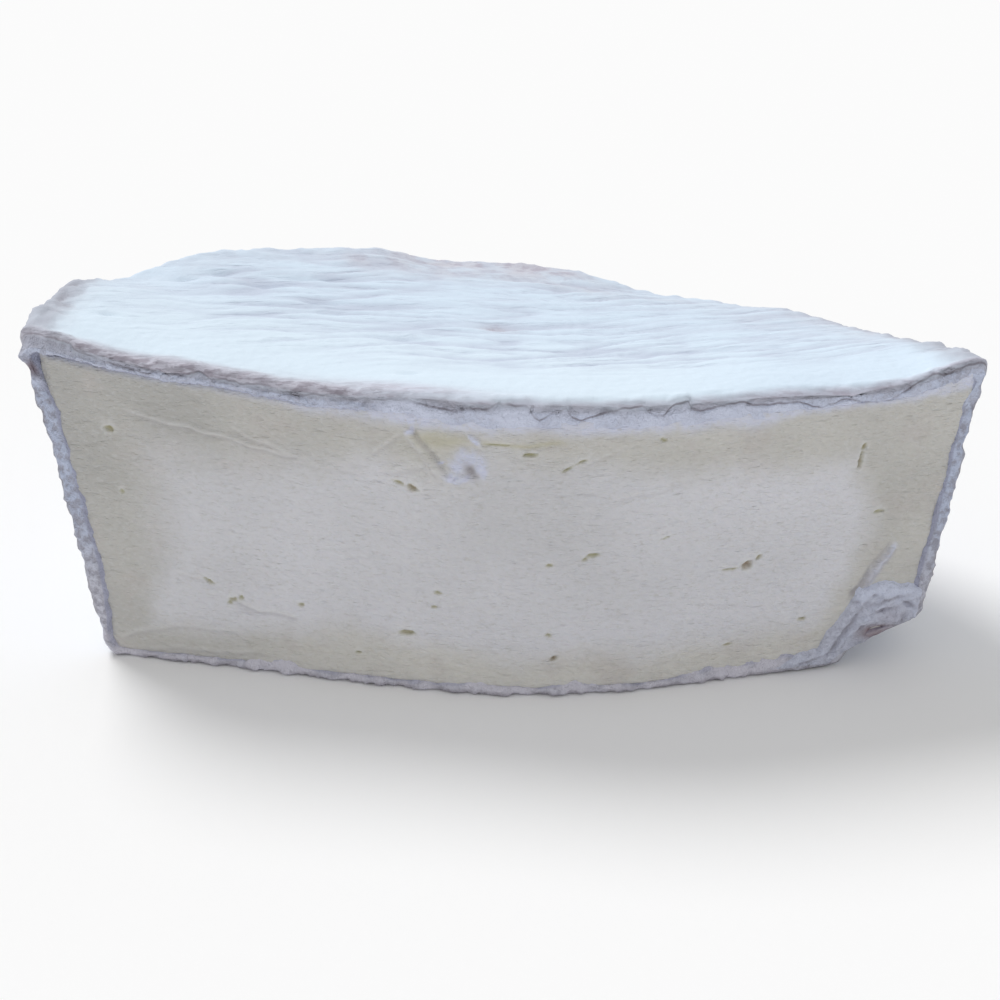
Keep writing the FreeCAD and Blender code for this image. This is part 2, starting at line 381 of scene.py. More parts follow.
# %% [markdown]
# ## How the knife left the upper front edge
#
# The stroke pulled the skin of the top a little forward and down, so the edge isn't sharp: it stands
# up by some millimetres, rolls over and ends in a band of bare rind above the paste. The roll is a
# quarter circle in the distance from the cut.

# %% Raised and rolled front edge
RAISE_REACH = 30.0      # how far back the raised edge fades into the top


def behind_cut(x, y):
    """Distance of a place on the top behind the cut face."""
    return np.maximum((y - knife_y(x)) * -knife_normal(x)[1], 0.0)


def roll_radius(x):
    """Radius of the rolled edge, which is tighter towards the right end."""
    return 2.5 - 0.5 * smooth(x, 52.0, 70.0) - 0.9 * smooth(x, 76.0, 86.0)


def edge_height(x):
    """How far the foot of the roll lies above the smooth top's own edge: more to the right."""
    slow = 0.5 * noise(x, 0.0, 0.0, 23.0, 3)
    rising = 1.9 * smooth(x, -42.0, -12.0) - 0.9 * smooth(x, 45.0, 70.0) + 2.0 * smooth(x, 78.0, 90.0)
    return rising - 0.3 + slow


def rolled_top(x, y):
    """The top with its raised edge: height + (foot + roll) * fade - the drop of the quarter circle."""
    behind = behind_cut(x, y)
    roll = roll_radius(x)
    raised = (edge_height(x) + roll) * bell(behind / RAISE_REACH)
    into_roll = np.clip(1.0 - behind / roll, 0.0, 1.0)
    rim_fade = smooth(plan_radius(np.arctan2(y, x)) - np.hypot(x, y), 0.0, 14.0)
    rim_fade = np.maximum(rim_fade, smooth(30.0 - behind, 0.0, 20.0))
    return raised * rim_fade - roll * (1.0 - np.sqrt(1.0 - into_roll**2))


# %% [markdown]
# ## Swells of the rim
#
# The rim sagged and swelled while the wheel stood on its shelf. Pushing points by hand would give the
# same outline, but a list of swells can be read and changed: each is a bell round one direction, and
# it fades inwards over the top and down the wall.

# %% Swells, each: direction in degrees, how far up, how far out, and its spread
RIM_SWELLS = (
    (176, 0.4, 1, 5), (164, 1, 2, 4.5), (152, -2.2, 0, 6), (133, 0.9, 0, 9),
    (115, 1.4, 0, 8), (102, -0.9, 0, 5), (81, 1.8, 0, 6), (67, -1.6, 0, 6),
    (44, 2.3, 0, 6), (27, -0.6, 0, 5), (13, 1.3, 0.6, 3))


def rim_swell(x, y, which):
    """How far the swells lift a place (which = 1) or push it out (which = 2), fading from the rim in."""
    angle = np.degrees(np.arctan2(y, x))
    angle = np.where(angle < -90.0, angle + 360.0, angle)
    total = np.zeros(np.shape(x))
    for swell in RIM_SWELLS:
        total = total + swell[which] * bell((angle - swell[0]) / swell[3])
    inside = plan_radius(np.radians(angle)) - np.hypot(x, y)
    return total * bell(np.clip(inside, 0.0, 99.0) / 15.0)


top_rows = slice(UNDER_ROWS + BASE_ROWS + 1 + WALL_ROWS + RIM_ROWS, None)
side_rows = slice(UNDER_ROWS, UNDER_ROWS + BASE_ROWS + 1 + WALL_ROWS + RIM_ROWS)
formed = skin.copy()
formed[top_rows, :, 2] += rolled_top(skin[top_rows, :, 0], skin[top_rows, :, 1])
# the rim and the wall below it rise with the raised edge, less and less downwards
upper = smooth(skin[..., 2], 25.0, 66.0)
rim_rise = rolled_top(rim_rings[-1, :, 0], rim_rings[-1, :, 1])[None, :]
formed[side_rows, :, 2] += (rim_rise * upper)[side_rows]
swell_fade = np.where(skin[..., 2] > 30.0, smooth(skin[..., 2], 36.0, 66.0), 0.0)
swell_up = rim_swell(skin[..., 0], skin[..., 1], 1) * swell_fade
swell_out = rim_swell(skin[..., 0], skin[..., 1], 2) * swell_fade
skin_reach = np.maximum(np.hypot(skin[..., 0], skin[..., 1]), 1.0)
formed[..., 2] += swell_up
formed[..., 0] += swell_out * skin[..., 0] / skin_reach
formed[..., 1] += swell_out * skin[..., 1] / skin_reach
print("the edge stands up by", round(float((formed - skin)[..., 2].max()), 2), "mm at most")

# %% [markdown]
# ## The cut edge of the rind
#
# On the cut face the rind shows as a bumpy strip all round the paste. The strip starts on the skin's
# own border and steps inwards loop by loop, so both share their points and the piece stays closed.
# Past the rind's thickness the loops dive behind the paste and end in a shallow tray, which the paste
# fills. The inward direction is a power of the place on the face, which turns the corners gently.

# %% Border of the skin and inward direction
row_count, column_count = formed.shape[:2]
skin_index = np.arange(row_count * column_count).reshape(row_count, column_count)
border = np.concatenate([
    skin_index[0, :], skin_index[1:, -1], skin_index[-1, -2::-1], skin_index[-2:0:-1, 0]])
border_points = formed.reshape(-1, 3)[border]


def face_ends(height):
    """Left and right ends of the cut face at a height, where the wall meets the two cuts."""
    right, left = cut_angles(lambda angle: wall_radius(angle, height), height)
    return wall_radius(left, height) * np.cos(left), wall_radius(right, height) * np.cos(right)


def face_top(x):
    """Height of the upper edge of the cut face."""
    return top_height(x, knife_y(x)) + edge_height(x)


edge_x, edge_z = border_points[:, 0], border_points[:, 2]
left_end, right_end = face_ends(np.clip(edge_z, 0.0, 58.0))
across_face = np.clip(2.0 * (edge_x - left_end) / (right_end - left_end) - 1.0, -1.0, 1.0)
up_face = np.clip(2.0 * edge_z / face_top(edge_x) - 1.0, -1.0, 1.0)
inward = -np.stack([np.sign(place) * np.abs(place) ** 7 for place in (across_face, up_face)], axis=-1)
inward /= np.linalg.norm(inward, axis=1, keepdims=True)
print("points round the cut face:", len(border))

# %% Thickness of the rind round the face
on_top = smooth(up_face, 0.6, 0.95)
on_foot = smooth(-up_face, 0.6, 0.95)
on_right = smooth(across_face, 0.6, 0.95)
unevenness = noise(edge_x, edge_z, 0.0, 9.0, 41) + 0.7 * noise(edge_x, edge_z, 0.0, 3.4, 42)
top_band = 1.7 + np.maximum(edge_height(edge_x), 0.0) - 0.6 * smooth(edge_x, 72.0, 84.0)
top_band = top_band - 0.5 * smooth(-edge_x, 34.0, 50.0) - 0.3 * smooth(-edge_x, 78.0, 88.0)
top_band = top_band - 0.9 * bell((edge_x - 64.0) / 11.0) - 0.3 * bell((edge_x - 12.0) / 14.0)
foot_band = 1.5 + 1.6 * smooth(edge_x, 28.0, 44.0) + 2.0 * smooth(edge_x, 48.0, 60.0)
for bulge_x, bulge_size, bulge_reach in ((-49.0, 1.8, 7.0), (-9.0, 0.9, 6.0), (13.0, 1.3, 6.0)):
    foot_band = foot_band + bulge_size * bell((edge_x - bulge_x) / bulge_reach)
side_band = 3.0 + 1.2 * smooth(edge_z, 4.0, 24.0) * (1.0 - smooth(edge_x, -10.0, 10.0))
thickness = side_band + (top_band - side_band) * on_top + (foot_band - side_band) * on_foot
thickness = thickness * (1.0 + (0.12 + 0.16 * np.maximum(on_top, on_foot)) * unevenness)
thickness = np.maximum(thickness, 0.9)
print("rind thickness:", round(float(thickness.min()), 1), "to", round(float(thickness.max()), 1), "mm")

# %% Loops of the strip and the tray
STRIP_LOOPS = 16
DIVE = 2.6              # how far past the rind's thickness the loops reach
TRAY = 7.5              # how deep the tray behind the paste is
tau = (np.arange(1, STRIP_LOOPS + 1) / STRIP_LOOPS)[:, None]
reach_in = tau * (thickness + DIVE)[None, :]
strip_x = edge_x + reach_in * inward[:, 0]
strip_z = edge_z + reach_in * inward[:, 1]
within = np.clip(reach_in / thickness, 0.0, 1.0)
bulge = (0.65 - 0.35 * on_top)[None, :] * (1.0 - (2.0 * within - 1.0) ** 4)
sunk = 1.25 * np.maximum(reach_in - thickness, 0.0)
forward = bulge - sunk
normal_x, normal_y = knife_normal(strip_x)
strip = np.stack([strip_x + normal_x * forward, knife_y(strip_x) + normal_y * forward, strip_z], axis=-1)

middle = np.array([0.0, 0.0, 31.0])
tray_rim = strip[-1].copy()
tray_rim[:, 1] = knife_y(tray_rim[:, 0]) + TRAY
tray_rim[:, [0, 2]] += (middle[[0, 2]] - tray_rim[:, [0, 2]]) * 0.03
middle[1] = knife_y(middle[0]) + TRAY
count = len(border)
new_numbers = flat_skin.shape[0] + np.arange((STRIP_LOOPS + 1) * count)
loops = np.concatenate([border[None, :], new_numbers.reshape(-1, count)])
loops = np.concatenate([loops, loops[:, :1]], axis=1)
rind_points = np.concatenate([formed.reshape(-1, 3), strip.reshape(-1, 3), tray_rim, middle[None, :]])
hub = len(rind_points) - 1
fan = np.stack([loops[-1, 1:], loops[-1, :-1], np.full(count, hub)], axis=-1)
rind_faces = np.concatenate([grid_faces(skin_index), grid_faces(loops)[:, ::-1]])
print("points of the rind:", len(rind_points), "faces:", len(rind_faces))

# %% [markdown]
# ## Relief of the rind
#
# The felt of mould on the top dried in long shallow wrinkles that merge and part again. They are the
# places where a stretched noise crosses zero: such lines never end and they meet like real wrinkles.
# The cut edge is crumbly to the left and has a thin crack under a rolled lip to the right, and the
# ends of the rim carry rough lumps.

# %% Wrinkles of the top
def wrinkle_course(x, y):
    """Number that stays the same along a wrinkle: y less the rise of the wrinkles' lines."""
    bend = 10.0
    rise = 0.15 * x
    rise = rise - 0.27 * bend * np.log1p(np.exp((-35.0 - x) / bend))
    rise = rise + 0.27 * bend * np.log1p(np.exp((x - 15.0) / bend))
    sway = 2.2 * noise(x, y, 0.0, 26.0, 51) + 0.8 * noise(x, y, 0.0, 9.0, 52)
    return y - rise + sway


def crease_lines(x, course, length, spacing, seed):
    """1 in the bottom of a wrinkle: where noise stretched along the wrinkles crosses zero."""
    wave = noise(x / length, course / spacing, 0.0, 1.0, seed)
    return bell(wave / 0.16)


def top_relief(x, y):
    """Height of the wrinkled top above the smooth one, and how far into a wrinkle each place is."""
    behind = behind_cut(x, y)
    course = wrinkle_course(x, y)
    wide = crease_lines(x, course, 34.0, 7.0, 61)
    narrow = crease_lines(x, course, 19.0, 3.6, 62)
    strength = smooth(behind, 4.0, 34.0) * (0.65 + 0.5 * noise(x, y, 0.0, 31.0, 63))
    strength = strength * (1.0 - 0.6 * smooth(-x, 55.0, 80.0)) * (1.0 - 0.45 * smooth(x, 55.0, 85.0))
    creases = strength * (0.55 * wide + 0.32 * narrow)
    swell = 0.35 * noise(x / 2.6, course, 0.0, 8.0, 64) * (0.4 + strength)
    felt = 0.10 * layered(x, y, 0.0, 2.2, 65, 2)
    return swell + felt - creases, np.clip(creases / 0.5, 0.0, 1.0)


# %% Dents of the top, each: place, half length, half width, depth and turn in degrees
TOP_DENTS = (
    (-49.9, 56.5, 6, 1.6, 0.9, 12), (-41.5, 59.3, 5, 1.5, 0.9, 12), (-57.7, 48.4, 5, 1.5, 0.9, 14),
    (-75.6, 46.3, 4, 1.4, 0.8, 18), (-68, 52.7, 4, 1.4, 0.8, 14), (-42.5, 40.2, 6, 1.4, 0.9, 14),
    (-39.2, 32.2, 5, 1.3, 0.8, 10), (-22, 18, 7, 1.3, 0.6, 10), (-2.6, 32.4, 4.4, 2.2, 0.8, 6),
    (92.3, 11.3, 2, 1.1, 1.3, -20), (-84.7, 12.8, 2.6, 0.9, 0.8, 0), (-20, -9.5, 2.6, 0.7, 0.6, 4),
    (45, 20, 7, 1.2, 0.6, 18), (60, 24, 5, 1, 0.5, 14))


def oval(x, y, place, longer=1.0, wider=1.0):
    """0 in the middle of a turned oval and 1 on its border: the squared shares of its two halves."""
    dx, dy, turn = x - place[0], y - place[1], math.radians(place[5])
    along = (dx * math.cos(turn) + dy * math.sin(turn)) / (place[2] * longer)
    aside = (dy * math.cos(turn) - dx * math.sin(turn)) / (place[3] * wider)
    return along**2 + aside**2


def dent(x, y, place):
    """1 in the middle of an oval dent, falling off like a bell."""
    return np.exp(-oval(x, y, place))


# %% Where each point of the rind lies
rind_normals = point_normals(rind_points, rind_faces)
rx, ry, rz = rind_points.T
skin_count = row_count * column_count
strip_places = slice(skin_count, skin_count + STRIP_LOOPS * count)
is_skin = (np.arange(len(rind_points)) < skin_count).astype(float)
in_band = np.zeros(len(rind_points))
in_band[strip_places] = (1.0 - smooth(reach_in / thickness, 0.95, 1.5)).ravel()
in_band[border] = 1.0
shown = np.maximum(is_skin, in_band)

upright = smooth(rind_normals[:, 2], 0.35, 0.85) * is_skin
behind = behind_cut(rx, ry)
from_rim = plan_radius(np.arctan2(ry, rx)) - np.hypot(rx, ry)
foot_of_roll = face_top(rx)
left_half = 1.0 - smooth(rx, -30.0, -8.0)

# way along the surface from the foot of the roll: negative back over the top, positive down the cut
roll = roll_radius(rx)
turn_back = roll * np.arccos(np.clip(1.0 - behind / roll, -1.0, 1.0))
over_top = np.where(behind < roll, turn_back, 0.5 * math.pi * roll + behind - roll)
way = np.where(is_skin > 0.5, -over_top, foot_of_roll - rz)
near_top_edge = smooth(rz - foot_of_roll, -9.0, -6.0) * shown
near_edge = bell(np.minimum(way, 0.0) / 4.2) * near_top_edge
at_foot = bell(np.minimum(way, 0.0) / 2.2) * near_top_edge
print("points near the upper edge:", int((near_edge > 0.5).sum()))

# %% Relief of the top, the edge, the strips and the wall
top_lift, in_wrinkle = top_relief(rx, ry)
relief = upright * (top_lift * (1.0 - 0.9 * near_edge))
for place in TOP_DENTS:
    relief -= upright * place[4] * dent(rx, ry, place)
crumbly = crumbs(rx / 1.7, 1.5 * ry, 2.0 * rz, 1.9, 71)
patchy = np.clip(0.7 + 0.5 * noise(rx, 0.0, 0.0, 13.0, 78), 0.2, 1.0)
ridge = at_foot * left_half * patchy
relief += ridge * 0.45 * crumbly + near_edge * left_half * 0.35 * noise(rx, ry, rz, 6.0, 79)
soft_edge = near_edge * (1.0 - left_half)
relief += soft_edge * (0.30 * layered(rx, ry, rz, 4.0, 80, 2) + 0.15 * noise(rx / 3.0, ry, rz, 1.6, 84))
rough_side = in_band * (1.0 - near_edge)
relief += rough_side * (0.28 * layered(rx, ry, rz, 3.0, 72, 2) + 0.26 * crumbs(rx, ry, rz, 2.3, 73))
wall_side = is_skin * (1.0 - upright) * (1.0 - near_edge) * smooth(rz, 0.5, 6.0)
around = np.arctan2(ry, rx) * RIM_RADIUS
hoop = 0.30 * noise(around / 3.0, 0.0, rz, 4.5, 74) + 0.22 * layered(around, 0.0, rz, 7.0, 75, 3)
relief += wall_side * hoop
left_tip = smooth(-rx, 87.0, 96.0) * smooth(rz, 48.0, 60.0)
right_tip = smooth(rx, 85.0, 94.0) * smooth(rz, 42.0, 52.0)
lumpy_ends = layered(rx, ry, rz, 3.6, 76, 3)
end_relief = left_tip * (0.45 * lumpy_ends + 0.1) + right_tip * (0.4 * lumpy_ends - 0.5 * (1.0 - upright))
relief += shown * end_relief
relief += smooth(9.0 - from_rim, 0.0, 7.0) * upright * 0.5 * layered(rx, ry, rz, 6.0, 77, 3)
print("relief of the rind, low and high:", np.round([relief.min(), relief.max()], 2), "mm")

# %% [markdown]
# ## The crack under the rolled lip
#
# The skin split along the foot of the roll, and the pale cut rind shows under the split. Its course
# wanders, so it is a line of places, and every point knows how far past that line it lies. The line
# that the eye sees is thinner than a face of the mesh, so the groove here is shallow and the finish
# paints the rest as a thin line of shade from the same distance.

# %% Course of the crack, each: place across the half and millimetres below the foot of the roll
CRACK = (
    (-95, -2.8), (-88, -2.4), (-86.8, -1.3), (-81, -0.4), (-71.6, 0.5), (-69.6, -0.6), (-67.2, 0.1),
    (-63.7, -0.4), (-61.2, -1.5), (-58.6, -0.2), (-55.7, -0.9), (-52.8, -0.4), (-48.5, -1.2), (-42.3, -0.1),
    (-36.9, -0.8), (-31.5, -0.2), (-19.8, -0.8), (-16, 0.1), (-10.6, 0.5), (-8.4, -0.3), (-4.8, -0.2),
    (-2.7, -1.4), (3, -1.1), (4.2, 0.6), (5.3, 1.5), (7.7, 0.3), (10.4, -0.8), (11.2, 0.8), (13.3, 1.6),
    (17.2, 0.1), (20.7, -0.7), (25.1, -1.2), (26, -0.1), (27.7, 0.8), (29.2, 0.7), (30.4, -0.7), (33.8, -1.7),
    (34.6, -0.2), (36.3, 0.4), (44, -0.6), (47.9, 0.4), (56.4, 0.4), (59.1, 1.5), (60.9, 1.8), (66, 0.4),
    (72.5, 2.2), (75.1, 1.7), (79.6, -0.3), (83.7, -1.1), (86.4, 0), (90.7, -0.5), (94, -0.8))
crack_x, crack_below = np.array(CRACK).T
crack_course = np.interp(rx, crack_x, crack_below) + 0.25 * noise(rx, 0.0, 0.0, 1.7, 82)
crack_side = np.clip(way - crack_course, -6.0, 3.0)
crack_open = smooth(noise(rx, 0.0, 0.0, 6.0, 83), -0.35, 0.1)
crack_here = near_top_edge * (0.35 + 0.65 * crack_open) * (1.0 - 0.3 * left_half)
crack_here = crack_here * (1.0 - 0.8 * bell((rx - 3.2) / 1.6)) * (1.0 - 0.8 * bell((rx + 20.0) / 3.4))
ledge = smooth(-crack_side, 0.0, 0.6) * (1.0 - smooth(-crack_side, 1.2, 3.2))
relief += near_top_edge * 0.45 * ledge - crack_here * 0.35 * bell(crack_side / 0.4)

# single features: a white nub, a bruised lens with a pink end, and a pit with its rim at the left end
in_front = smooth(7.0 - behind, 0.0, 3.0) * shown
nub = in_front * bell((rx - 1.0) / 3.2, (way - 1.0) / 1.5)
lens = in_front * bell((rx + 12.0) / 3.6, (way + 0.5) / 0.8)
pink_end = in_front * bell((rx + 4.6) / 1.9, (way + 0.7) / 0.9)
end_rim = shown * bell((rx + 96.5) / 2.5, (rz - 67.0) / 0.9, (ry + 3.5) / 4.0)
end_hollow = shown * bell((rx + 95.4) / 2.4, (rz - 64.8) / 1.5, (ry + 3.5) / 6.0)
end_lump = shown * bell((rz - 65.2) / 2.0, (ry + 1.0) / 5.0) * smooth(-rx, 95.5, 98.0)
relief += 1.5 * nub - 0.5 * lens + 0.4 * pink_end - 1.3 * end_hollow + 0.6 * end_rim + 1.2 * end_lump
relief = relief * (1.0 - (rz < 1e-6))
moved = rind_points + rind_normals * relief[:, None]
moved[:, 2] = np.maximum(moved[:, 2], 0.0)
# the lower front edge wavers forwards and backwards, but stays on the board
foot_wave = (0.8 * layered(rx, 0.0, 0.0, 7.0, 96, 3) - 0.1) * bell(rz / 2.4, behind / 4.0)
out_x, out_y = knife_normal(rx)
moved[:, 0] += out_x * foot_wave
moved[:, 1] += out_y * foot_wave
print("points near the crack:", int((crack_here * (np.abs(crack_side) < 0.5)).sum()))

# %% [markdown]
# ## What the rind's finish has to know
#
# The rind isn't one white: it is rubbed pinkish towards the back, worn at the ends, tinted along the
# front edge and crumbly where it was cut, and it carries painted shade in its pits, clefts and crack and
# painted light along its foot. Weight paint could mark these places, but formulas keep them on the
# form. Each becomes a number on the points, mostly from 0 to 1, which the material reads.

# %% Values of the rind's points
# painted shade in the dark places: the lens, the pit, hollows of the left end and the underside of the cut
# edge
hollow = 0.6 * lens * smooth(crumbly, 0.6, -0.4) + 1.6 * end_hollow
hollow = hollow + 0.5 * left_tip * shown * np.clip(-lumpy_ends, 0.0, 1.0)
underside = in_band * smooth(1.3 - rz, 0.0, 0.9) * smooth(noise(rx, 0.0, 0.0, 5.0, 92), -0.4, 0.2)
hollow = np.clip(hollow + 0.6 * underside, 0.0, 1.0)
# rubbed places of the top, towards the back rim and in one spot
rear_rub = smooth(30.0 - from_rim, 0.0, 18.0) * smooth(behind, 18.0, 45.0)
rear_rub = rear_rub * (0.35 + 0.65 * smooth(-rx, -40.0, -10.0)) * (1.0 - 0.8 * smooth(-rx, 32.0, 56.0))
rear_rub = rear_rub * np.clip(0.75 + 0.8 * noise(around / 2.5, from_rim, 0.0, 11.0, 91), 0.0, 1.0)
spot = 1.3 * bell((rx + 2.4) / 4.2, (ry - 32.3) / 2.4)
# tint of the edge above the crack, wider to the left, where lines of crumbs run through it
wander = 0.8 * noise(rx, ry, 0.0, 7.0, 93)
wide = 1.0 - smooth(rx, -36.0, -20.0)
edge_tint = 1.0 - smooth(-way, 0.2 + 1.6 * wide + 0.6 * wander, 3.4 + 2.2 * wide + wander)
edge_tint = np.maximum(edge_tint, 0.8 * bell((rx + 22.0) / 20.0, (way + 3.2) / 2.8))
edge_tint = edge_tint * smooth(0.4 - crack_side, 0.0, 0.4) * near_top_edge * is_skin
# band of crumbs on the left, whose clefts the finish paints with shade
lines = near_top_edge * bell((crack_side + 1.0) / 1.4) * left_half
# rim worn grey at both ends
worn = upright * (smooth(5.0 - from_rim, 0.0, 4.0) * smooth(rx, 55.0, 76.0) + 0.9 * smooth(rx, 84.0, 92.0))
worn = worn + shown * smooth(-rx, 91.0, 95.0) * smooth(rz, 58.0, 64.0) * (1.0 - in_band)
worn = np.clip(worn * (0.9 + 0.5 * noise(rx, ry, rz, 4.0, 97)), 0.0, 1.0)
right_rim = smooth(rx, 70.0, 88.0) * smooth(8.0 - from_rim, 0.0, 6.0)
rubbed = upright * (rear_rub + spot + 0.4 * left_tip + 0.8 * right_rim) + pink_end
# the cut through the rind, how far inwards each of its places lies, and where it is pale
cut_tone = np.maximum(1.0 - is_skin, in_band)
cut_tone = np.maximum(cut_tone, near_top_edge * smooth(crack_side, 0.0, 0.4) * smooth(9.0 - behind, 0.0, 3.0))
across = np.zeros(len(rind_points))
across[strip_places] = np.clip(reach_in / thickness, 0.0, 1.0).ravel()
pale = near_top_edge * smooth(crack_side, 0.1, 0.5) * (0.35 + 0.65 * smooth(rx, -34.0, -20.0))
pale = np.maximum(pale, near_top_edge * in_band * 0.6) * (0.85 + 0.4 * noise(rx, ry, rz, 5.0, 98))
pale = pale * (1.0 - 0.6 * smooth(rx, 74.0, 86.0)) + 0.9 * nub
pale = np.clip(pale + 0.5 * in_front * bell((rx + 19.5) / 4.0, (way - 0.9) / 1.2), 0.0, 1.0)
# pale patches along the foot of the cut strip, lightened also as painted light that lifts the shade near the
# floor
foot_pale = in_band * smooth(6.0 - rz, 0.0, 2.5) * (1.0 - smooth(rx, 54.0, 62.0))
foot_pale = foot_pale * (0.4 + 0.6 * smooth(noise(rx, rz, 0.0, 4.0, 94), -0.4, 0.1))
side_tone = np.clip(is_skin * (1.0 - upright) * (1.0 - near_edge), 0.0, 1.0)
bruise = np.clip(0.6 * end_hollow + bell((rx - 78.5) / 4.5, (rz - 6.0) / 2.6) * (1.0 - is_skin), 0.0, 1.0)
rind = add_mesh(
    "rind", moved, rind_faces.tolist() + fan.tolist(), hollow=hollow, rubbed=np.clip(rubbed, 0.0, 1.0),
    cut_tone=cut_tone, side_tone=side_tone, bruise=bruise, ridge=lines,
    pale=pale, crack_side=crack_side, crack_here=crack_here, edge_tint=np.clip(edge_tint, 0.0, 1.0),
    edge_left=wide, foot_pale=foot_pale, worn=worn, across=across,
    fresh=(1.0 - smooth(behind, 22.0, 60.0)) * (1.0 - 0.8 * smooth(rx, 20.0, 60.0)),
    high=smooth(rz, 14.0, 36.0), course=wrinkle_course(rx, ry), streaky=upright * smooth(behind, 3.0, 30.0),
    wrinkle=np.clip(in_wrinkle * upright * (1.0 - near_edge), 0.0, 1.0))

# %% [markdown]
# ## The paste in the cut face
#
# The face isn't flat: the knife dragged on the sticky paste, left shallow ridges, opened small holes
# that fermentation made, and tore a patch under the rind. The paste is a plate whose front is a fine
# grid over the whole face. Each hole, slit and fold is a formula of the place on the face.

# %% Grid over the face
FACE_COLUMNS = 470
FACE_ROWS = 178
PLATE = 6.0             # thickness of the plate
TUCK = 1.1              # how far its border stays inside the rind's outline
u = np.linspace(0.0, 1.0, FACE_COLUMNS + 1)[None, :]
v = np.linspace(0.0, 1.0, FACE_ROWS + 1)[:, None]
face_x = -90.0 + 180.0 * u + 0.0 * v
for _ in range(8):
    face_z = TUCK + (face_top(face_x) - 2.0 * TUCK) * v
    face_left, face_right = face_ends(np.clip(face_z, 0.0, 60.0))
    face_x = face_left + TUCK + (face_right - face_left - 2.0 * TUCK) * u
print("cells of the face:", round(180.0 / FACE_COLUMNS, 2), "by", round(60.0 / FACE_ROWS, 2), "mm")

# %% Holes and slits, each: place on the face, half length, half width, depth, turn, how brown
OPENINGS = (
    (-81.3, 52.8, 1.1, 0.7, 1, -20, 0.2), (-79.9, 39.2, 0.6, 0.5, 0.6, 0, 0),
    (-22, 46.8, 1.4, 0.4, 0.7, -20, 0.3), (-19.2, 45.8, 1.4, 0.6, 1, -32, 0.7),
    (-63, 20.3, 1.4, 0.45, 0.8, -28, 0.2), (-58, 16.6, 1, 0.6, 0.9, 20, 0.3),
    (-56.2, 17.2, 0.6, 0.5, 0.6, 0, 0), (-58.9, 15.6, 0.6, 0.4, 0.5, 0, 0.1),
    (-43.4, 17, 0.7, 0.5, 0.8, 0, 0.2), (-14.7, 23, 0.9, 0.4, 0.6, -10, 0.1),
    (-15.5, 19.7, 0.7, 0.4, 0.6, 5, 0.1), (-21.3, 13, 1.9, 0.7, 1.1, 4, 0.3),
    (-31.6, 7.2, 0.7, 0.4, 0.6, 0, 0.3), (3.6, 53.6, 1.5, 0.4, 0.8, 4, 0.1),
    (-2.5, 55.6, 3, 0.18, 0.3, 1, 0), (10.9, 50.6, 1.3, 0.35, 0.8, 32, 0.1),
    (13.6, 52, 1.3, 0.3, 0.6, 20, 0.1), (29.4, 55.7, 1, 0.35, 0.6, -25, 0.1),
    (70.4, 47.6, 2, 0.45, 1.2, 82, 0.7), (70.9, 50.6, 0.8, 0.5, 0.8, 60, 0.4),
    (75.7, 35.7, 1.1, 0.45, 0.8, 4, 0.1), (16.3, 31.7, 1.5, 0.5, 0.9, 3, 0.1),
    (14.8, 30.9, 0.8, 0.5, 0.6, 40, 0.1), (7.6, 29.8, 0.8, 0.4, 0.6, 0, 0.1),
    (48.2, 26.6, 1.2, 0.9, 1.5, 20, 1), (44.4, 26.1, 1.9, 0.3, 0.6, 0, 0.2),
    (50.6, 28.2, 0.8, 0.5, 0.7, 30, 0.3), (30.7, 34.6, 1.3, 0.25, 0.5, 15, 0),
    (61, 12.7, 0.9, 0.5, 0.8, 0, 0.3), (8.8, 8.6, 0.9, 0.6, 1, 20, 1),
    (7.8, 13.9, 0.8, 0.4, 0.6, -15, 0.1), (45.2, 8.5, 1, 0.4, 0.6, 8, 0.3))


def opening(x, z, place, longer=1.0, wider=1.0):
    """1 in the middle of a ragged opening, with a steep border: the bell of the fourth power."""
    ragged = 0.7 * noise(x, z, 0.0, 0.9, 110)
    return bell(1.3 * oval(x, z, place, longer, wider) + ragged)


openings, brown, rims, face_relief = np.zeros((4,) + face_x.shape)
for place in OPENINGS:
    here = opening(face_x, face_z, place)
    # the raised shoulder round each opening, which the finish gives a painted highlight
    shoulder = opening(face_x, face_z - 0.35, place, 1.5, 2.6)
    face_relief += 0.16 * shoulder - (0.7 * place[4] + 0.16) * here
    openings = np.maximum(openings, here)
    rims = np.maximum(rims, shoulder * (1.0 - here))
    brown = np.maximum(brown, here * place[6])
print("openings:", len(OPENINGS), "deepest", round(float(-face_relief.min()), 2), "mm")

# %% Folds that the knife pulled up, each: two ends, height and half width
FOLDS = (
    ((-76, 57), (-51, 52.2), 0.34, 0.45), ((-66, 55), (-41, 50), 0.34, 0.4),
    ((-55, 55.5), (-40, 49.5), 0.26, 0.4), ((-45, 49.5), (-30, 48.2), 0.14, 0.5),
    ((-84, 4.5), (-72, 9.3), 0.22, 0.5), ((-73, 9.3), (-57, 9), 0.22, 0.45),
    ((-78, 2.6), (-54, 4.4), 0.20, 0.5), ((-19, 58.5), (-12.6, 50.2), -0.45, 0.45),
    ((-20.5, 57), (-14, 48.8), 0.30, 0.6), ((-27, 53), (-21, 57), 0.25, 0.5),
    ((-24, 49), (-15, 51), 0.25, 0.6), ((2, 55.6), (11, 55.7), -0.16, 0.35),
    ((80.1, 27.7), (76.9, 22.4), 0.45, 0.6), ((76.9, 22.4), (73, 18), 0.65, 0.8),
    ((79.2, 27.7), (75.8, 22.6), -0.35, 0.35), ((75.8, 22.6), (71.6, 17), -0.55, 0.4),
    ((20, 44), (36, 47), 0.12, 0.4), ((14, 51.4), (22, 55), 0.16, 0.35),
    ((-58.5, 17.6), (-52, 14.6), 0.38, 0.5), ((-52.5, 14.6), (-44.5, 14.7), 0.38, 0.45),
    ((-59, 16.6), (-52.5, 13.6), -0.2, 0.4), ((-70, 21.5), (-63, 20.6), 0.2, 0.4),
    ((-34, 29), (-28, 30.5), 0.14, 0.4), ((-38, 31), (-31, 32), 0.12, 0.4))


